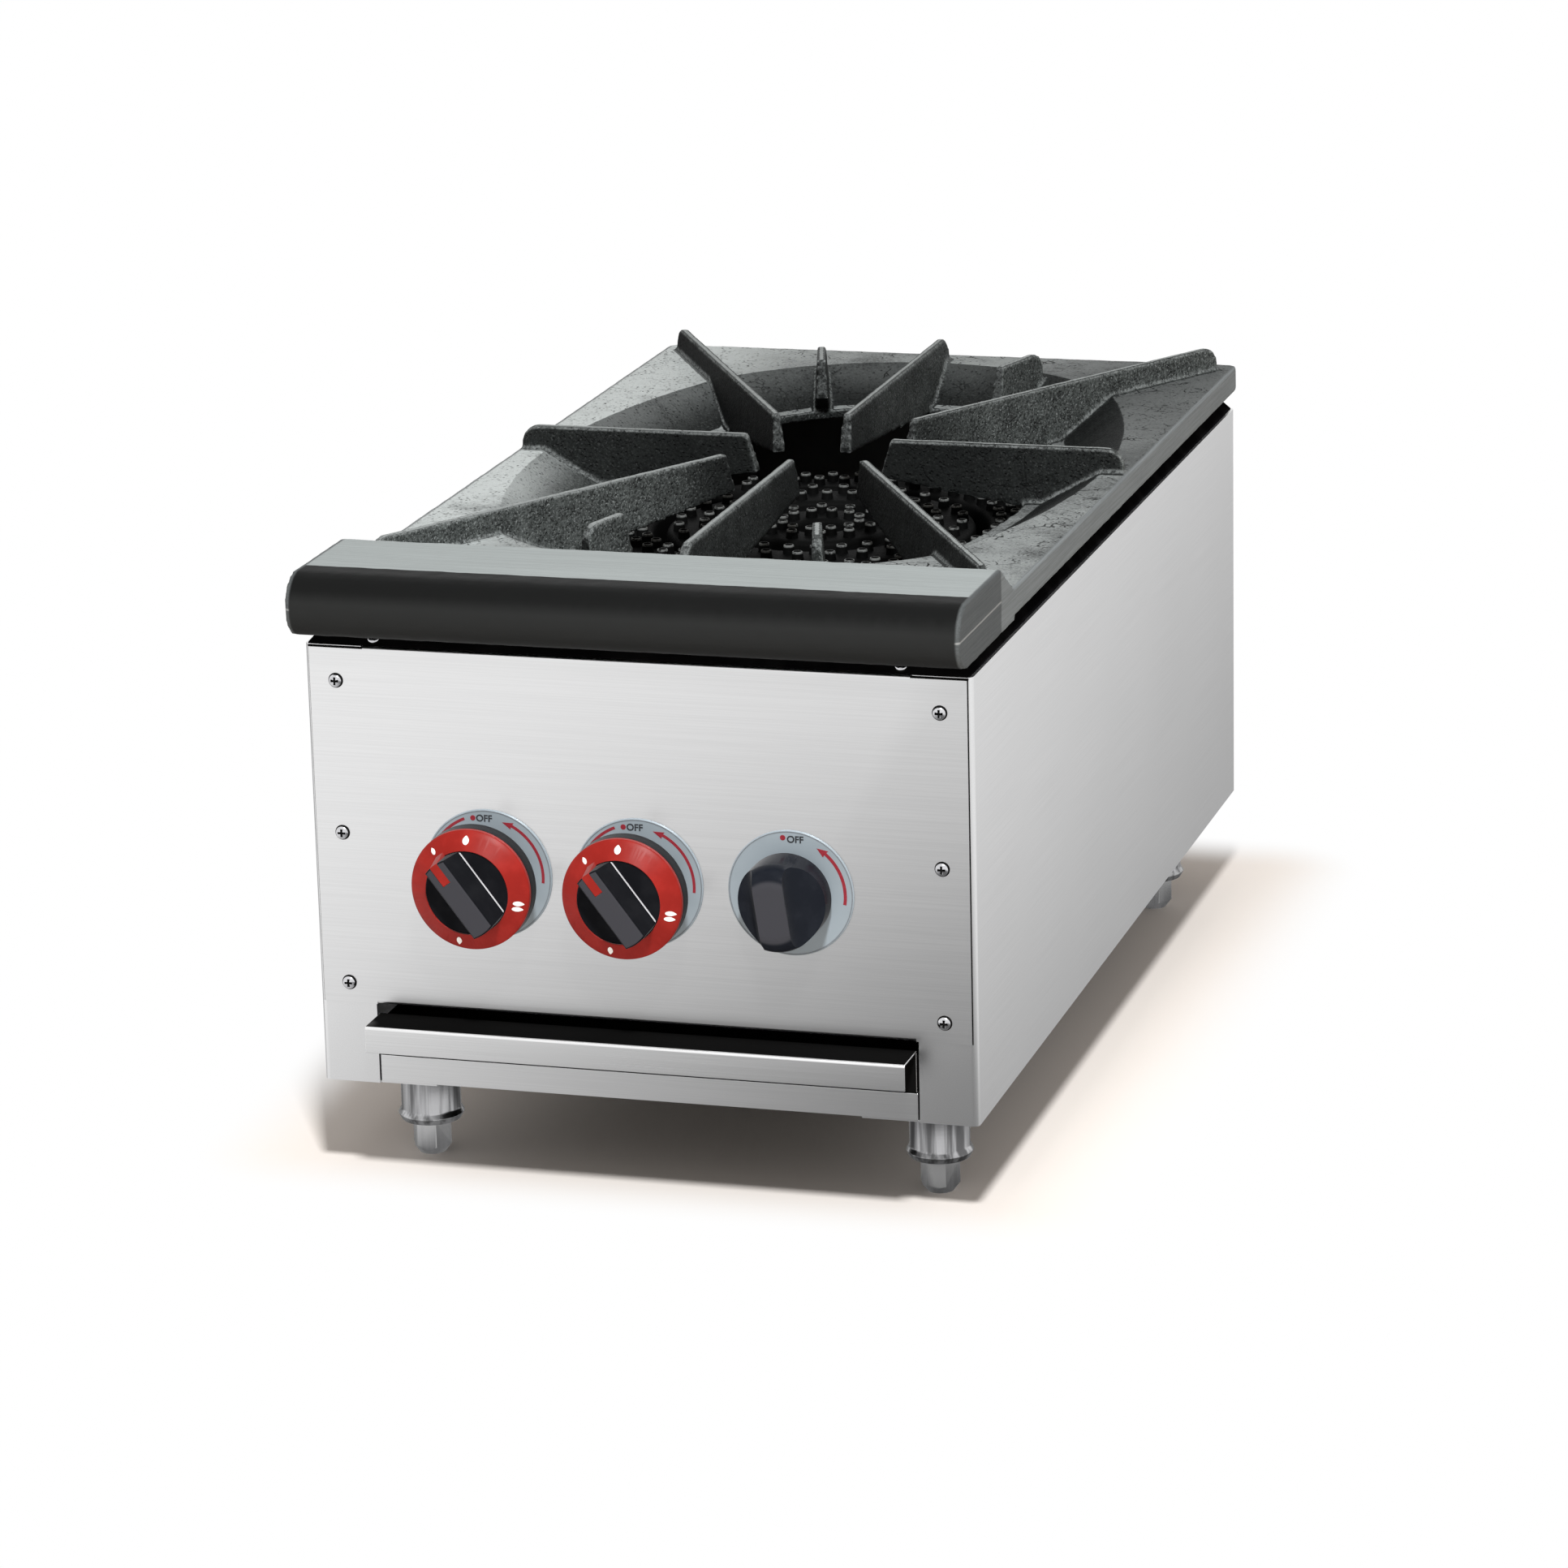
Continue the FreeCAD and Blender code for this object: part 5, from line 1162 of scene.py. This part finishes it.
CAMERA_AZIMUTH = 16.55
CAMERA_ELEVATION = 16.132
CAMERA_ROLL = -1.387
CAMERA_DISTANCE = 3.32737
CAMERA_TARGET = Vector((0.088597, FRONT, 0.264013))
FOCAL_PIXELS = 7198.49
IMAGE_PIXELS = 1932
SENSOR = 36.0
CAMERA_REACH = 50.0


def studio_camera():
    """The camera that was fitted to the cabinet's corners."""
    azimuth, elevation = math.radians(CAMERA_AZIMUTH), math.radians(CAMERA_ELEVATION)
    back = Vector((math.sin(azimuth) * math.cos(elevation), -math.cos(azimuth) * math.cos(elevation),
                   math.sin(elevation)))
    right = Vector((math.cos(azimuth), math.sin(azimuth), 0))
    up = back.cross(right)
    roll = math.radians(CAMERA_ROLL)
    x = right * math.cos(roll) + up * math.sin(roll)
    y = up * math.cos(roll) - right * math.sin(roll)
    data = bpy.data.cameras.new("photo camera")
    data.sensor_width = SENSOR
    data.lens = FOCAL_PIXELS / IMAGE_PIXELS * SENSOR
    data.clip_end = CAMERA_REACH
    camera = linked("photo camera", data)
    camera.matrix_world = Matrix.Translation(CAMERA_TARGET + back * CAMERA_DISTANCE) @ Matrix(
        (x, y, back)).transposed().to_4x4()
    bpy.context.scene.camera = camera


KEY_PLACE = Vector((0.70, -2.20, 2.52))
KEY_SIZE = 0.25
KEY_WATTS = 104.0
KEY_TARGET = Vector((0.0, 0.0, 0.2))


def key_softbox():
    """The white area lamp, high to the right."""
    data = bpy.data.lights.new("key softbox", "AREA")
    data.shape = "RECTANGLE"
    data.size = KEY_SIZE
    data.size_y = KEY_SIZE
    data.energy = KEY_WATTS
    lamp = linked("key softbox", data)
    lamp.location = KEY_PLACE
    lamp.rotation_euler = (KEY_TARGET - KEY_PLACE).to_track_quat("-Z", "Y").to_euler()


AMBIENT = 0.40
AMBIENT_TINT = (1.0, 0.93, 0.87, 1.0)
FLOOR_HALF = 9.0
SHADOW_MIDDLE = (-0.010, 0.06)
SHADOW_HALF = (0.220, 0.340)
SHADOW_NEAR = 0.004
SHADOW_FAR = 0.075

# Painted light that metal mirrors in the floor: a glow that is dimmer near the range in front and beside it,
# with painted shade under it
FRONT_DARK = (0.25, -0.45)
FRONT_STRETCH = (1.9, 0.7)
FRONT_REACH = (0.05, 1.6)
FRONT_LEAST = 0.16
SIDE_DARK = 0.40
SIDE_PALE = 0.50
SIDE_REACH = (0.15, 0.75)
REAR_DIM = 0.08
REAR_REACH = (0.2, 1.4)
FRONT_TO_SIDE = (-0.40, -0.15)
UNDER_REACH = (0.0, 0.03)
UNDER_LEAST = 0.62

WHITE = (1.0, 1.0, 1.0, 1.0)
BLACK = (0.0, 0.0, 0.0, 1.0)


def outside_of(f, x, y, centre, half):
    """Distance on the floor from a rectangle."""
    parts = []
    for value, origin, reach in zip((x, y), centre, half):
        beyond = f.size(value - origin) - reach
        parts.append(f.node("ShaderNodeMath", {"operation": "MAXIMUM"}, {0: beyond, 1: 0.0}))
    return (parts[0] * parts[0] + parts[1] * parts[1]) ** 0.5


def floor_finish():
    """Pale floor: it keeps the shadow near the range, and shows metal a painted glow, dimmer near the range,
    with painted shade under it.
    """
    f = new_finish("studio_floor")
    x, y = f.at("X"), f.at("Y")
    outside = outside_of(f, x, y, SHADOW_MIDDLE, SHADOW_HALF)
    far = f.between(outside, SHADOW_NEAR, SHADOW_FAR)
    mottle = f.noise(3.0)
    pale = f.mixed(mottle, paint("floor"), times(0.985, paint("floor")))
    matt = f.surface(Base_Color=pale, Roughness=0.9)
    white = f.node("ShaderNodeEmission", sockets={"Color": WHITE, "Strength": 1.0})
    seen = f.shade(matt, white, f.light_path("Is Camera Ray") * far)
    dx, dy = (x - FRONT_DARK[0]) * FRONT_STRETCH[0], (y - FRONT_DARK[1]) * FRONT_STRETCH[1]
    front = f.between((dx * dx + dy * dy) ** 0.5, *FRONT_REACH) * (1 - FRONT_LEAST) + FRONT_LEAST
    beside = SIDE_DARK + SIDE_PALE * f.between(x, *SIDE_REACH) - REAR_DIM * f.between(y, *REAR_REACH)
    behind = f.between(y, *FRONT_TO_SIDE)
    open_floor = f.between(outside, *UNDER_REACH) * (1 - UNDER_LEAST) + UNDER_LEAST
    level = (front * (1 - behind) + beside * behind) * open_floor
    falloff = f.mixed(level, BLACK, WHITE)
    glow = f.node("ShaderNodeEmission", sockets={"Color": falloff, "Strength": 1.0})
    f.out(f.shade(seen, glow, f.mirrored()))


def studio_floor():
    """A large plain floor."""
    shape = bmesh.new()
    corners = ((-1, -1), (1, -1), (1, 1), (-1, 1))
    shape.faces.new([shape.verts.new((x * FLOOR_HALF, y * FLOOR_HALF, 0)) for x, y in corners])
    mesh = bpy.data.meshes.new("studio_floor")
    shape.to_mesh(mesh)
    shape.free()
    floor_finish()
    mesh.materials.append(FINISHES["studio_floor"])
    floor = linked("studio_floor", mesh)


def studio_world():
    """White to look at, and a softer warm light on the range."""
    world = bpy.data.worlds.new("studio")
    bpy.context.scene.world = world
    f = Finish(world)
    seen = f.light_path("Is Camera Ray") + f.mirrored()
    level = AMBIENT + seen * (1.0 - AMBIENT)
    tint = f.mixed(seen, AMBIENT_TINT, WHITE)
    f.out(f.node("ShaderNodeBackground", sockets={"Color": tint, "Strength": level}), "ShaderNodeOutputWorld")


# Operators

class GASRANGE_OT_finishes(bpy.types.Operator):
    """Makes the materials"""
    bl_idname = "gas_range.finishes"
    bl_label = "Finishes"
    bl_options = {"REGISTER", "UNDO"}

    def execute(self, context):
        make_finishes()
        return {"FINISHED"}


class GASRANGE_OT_cabinet(bpy.types.Operator):
    """Rounds and finishes the cabinet sheets"""
    bl_idname = "gas_range.cabinet"
    bl_label = "Cabinet sheets"
    bl_options = {"REGISTER", "UNDO"}

    def execute(self, context):
        edge = sizes().sheet_edge
        softened("front_panel", "front_panel_sheet", "front_sheet", edge)
        softened("front_base_rail", "front_rail_sheet", "front_sheet", edge)
        for side in ("left", "right"):
            softened(f"{side}_side_panel", f"{side}_panel_sheet", "side_sheet", edge)
        panel_seams()
        softened("back_panel", "back_panel_sheet", "galvanised_steel", edge)
        softened("rear_base_rail", "rear_rail_sheet", "front_sheet", edge)
        softened("top_frame", "top_frame_enamel", "frame_enamel", 2 * edge)
        return {"FINISHED"}


class GASRANGE_OT_tray(bpy.types.Operator):
    """Rounds and finishes the drip tray and its runners"""
    bl_idname = "gas_range.tray"
    bl_label = "Drip tray"
    bl_options = {"REGISTER", "UNDO"}

    def execute(self, context):
        softened("tray_pull", "tray_pull_sheet", "tray_sheet", sizes().sheet_edge)
        softened("drip_tray", "drip_tray_sheet", "tray_inside", sizes().sheet_edge)
        dress("galvanised_steel", "left_tray_runner", "right_tray_runner")
        return {"FINISHED"}


class GASRANGE_OT_screws(bpy.types.Operator):
    """Makes the cross recess screws"""
    bl_idname = "gas_range.screws"
    bl_label = "Screws"
    bl_options = {"REGISTER", "UNDO"}

    def execute(self, context):
        panel_screws("front_screw_heads", "front_panel_screws", -1)
        panel_screws("back_screw_heads", "back_panel_screws", 1)
        frame_screws()
        return {"FINISHED"}


class GASRANGE_OT_grate(bpy.types.Operator):
    """Makes the star grate casting"""
    bl_idname = "gas_range.grate"
    bl_label = "Star grate"
    bl_options = {"REGISTER", "UNDO"}

    def execute(self, context):
        cast_grate()
        return {"FINISHED"}


class GASRANGE_OT_burner(bpy.types.Operator):
    """Makes the burner castings and finishes what carries them"""
    bl_idname = "gas_range.burner"
    bl_label = "Burner"
    bl_options = {"REGISTER", "UNDO"}

    def execute(self, context):
        burner_casting("outer_burner_casting", "outer_burner_ring", [OUTER_RING], 0)
        burner_casting("inner_burner_casting", "inner_burner_head", [MIDDLE_RING, INNER_RING], SPOKES)
        dress("heated_steel", "left_burner_strap", "right_burner_strap", "front_burner_bar",
              "rear_burner_bar")
        dress("burner_iron", "outer_mixer_tube", "inner_mixer_tube")
        return {"FINISHED"}


class GASRANGE_OT_gas_line(bpy.types.Operator):
    """Finishes valves, injectors, pipes and the pilot"""
    bl_idname = "gas_range.gas_line"
    bl_label = "Gas line"
    bl_options = {"REGISTER", "UNDO"}

    def execute(self, context):
        dress("brass", "outer_gas_valve", "inner_gas_valve", "pilot_gas_valve", "outer_injector",
              "inner_injector", "pilot_burner")
        threaded_inlet()
        dress("black_pipe", "gas_manifold", "supply_pipe")
        dress("aluminium", "pilot_tube")
        dress("galvanised_steel", "outer_air_shutter", "inner_air_shutter")
        return {"FINISHED"}


class GASRANGE_OT_dials(bpy.types.Operator):
    """Finishes and prints the dial plates"""
    bl_idname = "gas_range.dials"
    bl_label = "Dials"
    bl_options = {"REGISTER", "UNDO"}

    def execute(self, context):
        for name, plan in (("outer", MAIN_PRINT), ("inner", MAIN_PRINT), ("pilot", PILOT_PRINT)):
            unmirrored(softened(f"{name}_dial", f"{name}_dial_plate", "dial_plate", sizes().sheet_edge / 2))
            dial_print(name, plan)
        return {"FINISHED"}


class GASRANGE_OT_knobs(bpy.types.Operator):
    """Rounds, finishes and marks the knobs"""
    bl_idname = "gas_range.knobs"
    bl_label = "Knobs"
    bl_options = {"REGISTER", "UNDO"}

    def execute(self, context):
        edge = sizes().knob_edge
        for name in ("outer", "inner"):
            unmirrored(softened(f"{name}_knob_grip", f"{name}_knob_black", "knob_black", edge, 3),
                       softened(f"{name}_knob_ring", f"{name}_knob_red", "knob_red", edge / 2))
            ring_marks(name)
            wing_ridges(name)
        unmirrored(softened("pilot_knob_grip", "pilot_knob_black", "pilot_black", edge, 3))
        for name in ("outer", "inner", "pilot"):
            dress("screw_steel", f"{name}_knob_stem", f"{name}_stem_collar")
        return {"FINISHED"}


class GASRANGE_OT_legs(bpy.types.Operator):
    """Rounds and finishes legs and levelling feet"""
    bl_idname = "gas_range.legs"
    bl_label = "Legs and feet"
    bl_options = {"REGISTER", "UNDO"}

    def execute(self, context):
        for end in ("front", "rear"):
            for side in ("left", "right"):
                softened(f"{end}_{side}_leg", f"{end}_{side}_leg_tube", "leg_steel", sizes().leg_edge)
                softened(f"{end}_{side}_foot", f"{end}_{side}_foot_bolt", "foot_steel", sizes().leg_edge)
        return {"FINISHED"}


class GASRANGE_OT_stage(bpy.types.Operator):
    """Sets up camera, world, floor and lamp"""
    bl_idname = "gas_range.stage"
    bl_label = "Studio"
    bl_options = {"REGISTER", "UNDO"}

    def execute(self, context):
        bpy.context.scene.view_settings.view_transform = "Standard"
        studio_camera()
        studio_world()
        studio_floor()
        key_softbox()
        return {"FINISHED"}


OPERATORS = (GASRANGE_OT_finishes, GASRANGE_OT_cabinet, GASRANGE_OT_tray, GASRANGE_OT_screws,
             GASRANGE_OT_grate, GASRANGE_OT_burner, GASRANGE_OT_gas_line, GASRANGE_OT_dials,
             GASRANGE_OT_knobs, GASRANGE_OT_legs, GASRANGE_OT_stage)


class GASRANGE_PT_panel(bpy.types.Panel):
    """Lists the making steps and the settings"""
    bl_idname = "GASRANGE_PT_panel"
    bl_label = "Gas Range"
    bl_space_type = "VIEW_3D"
    bl_region_type = "UI"
    bl_category = "Gas Range"

    def draw(self, context):
        for operator in OPERATORS:
            self.layout.operator(operator.bl_idname)
        for group in (context.scene.range_sizes, context.scene.range_colours):
            column = self.layout.column()
            for key in group.__annotations__:
                column.prop(group, key)


CLASSES = (RangeSizes, RangeColours, *OPERATORS, GASRANGE_PT_panel)


def register():
    """Adds the classes and the settings to Blender."""
    for cls in CLASSES:
        bpy.utils.register_class(cls)
    bpy.types.Scene.range_sizes = bpy.props.PointerProperty(type=RangeSizes)
    bpy.types.Scene.range_colours = bpy.props.PointerProperty(type=RangeColours)


def unregister():
    """Takes settings and classes away again."""
    del bpy.types.Scene.range_colours
    del bpy.types.Scene.range_sizes
    for cls in reversed(CLASSES):
        bpy.utils.unregister_class(cls)


def main():
    """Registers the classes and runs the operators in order."""
    register()
    for operator in OPERATORS:
        group, name = operator.bl_idname.split(".")
        getattr(getattr(bpy.ops, group), name)()
    bpy.context.view_layer.update()


if __name__ == "__main__":
    main()
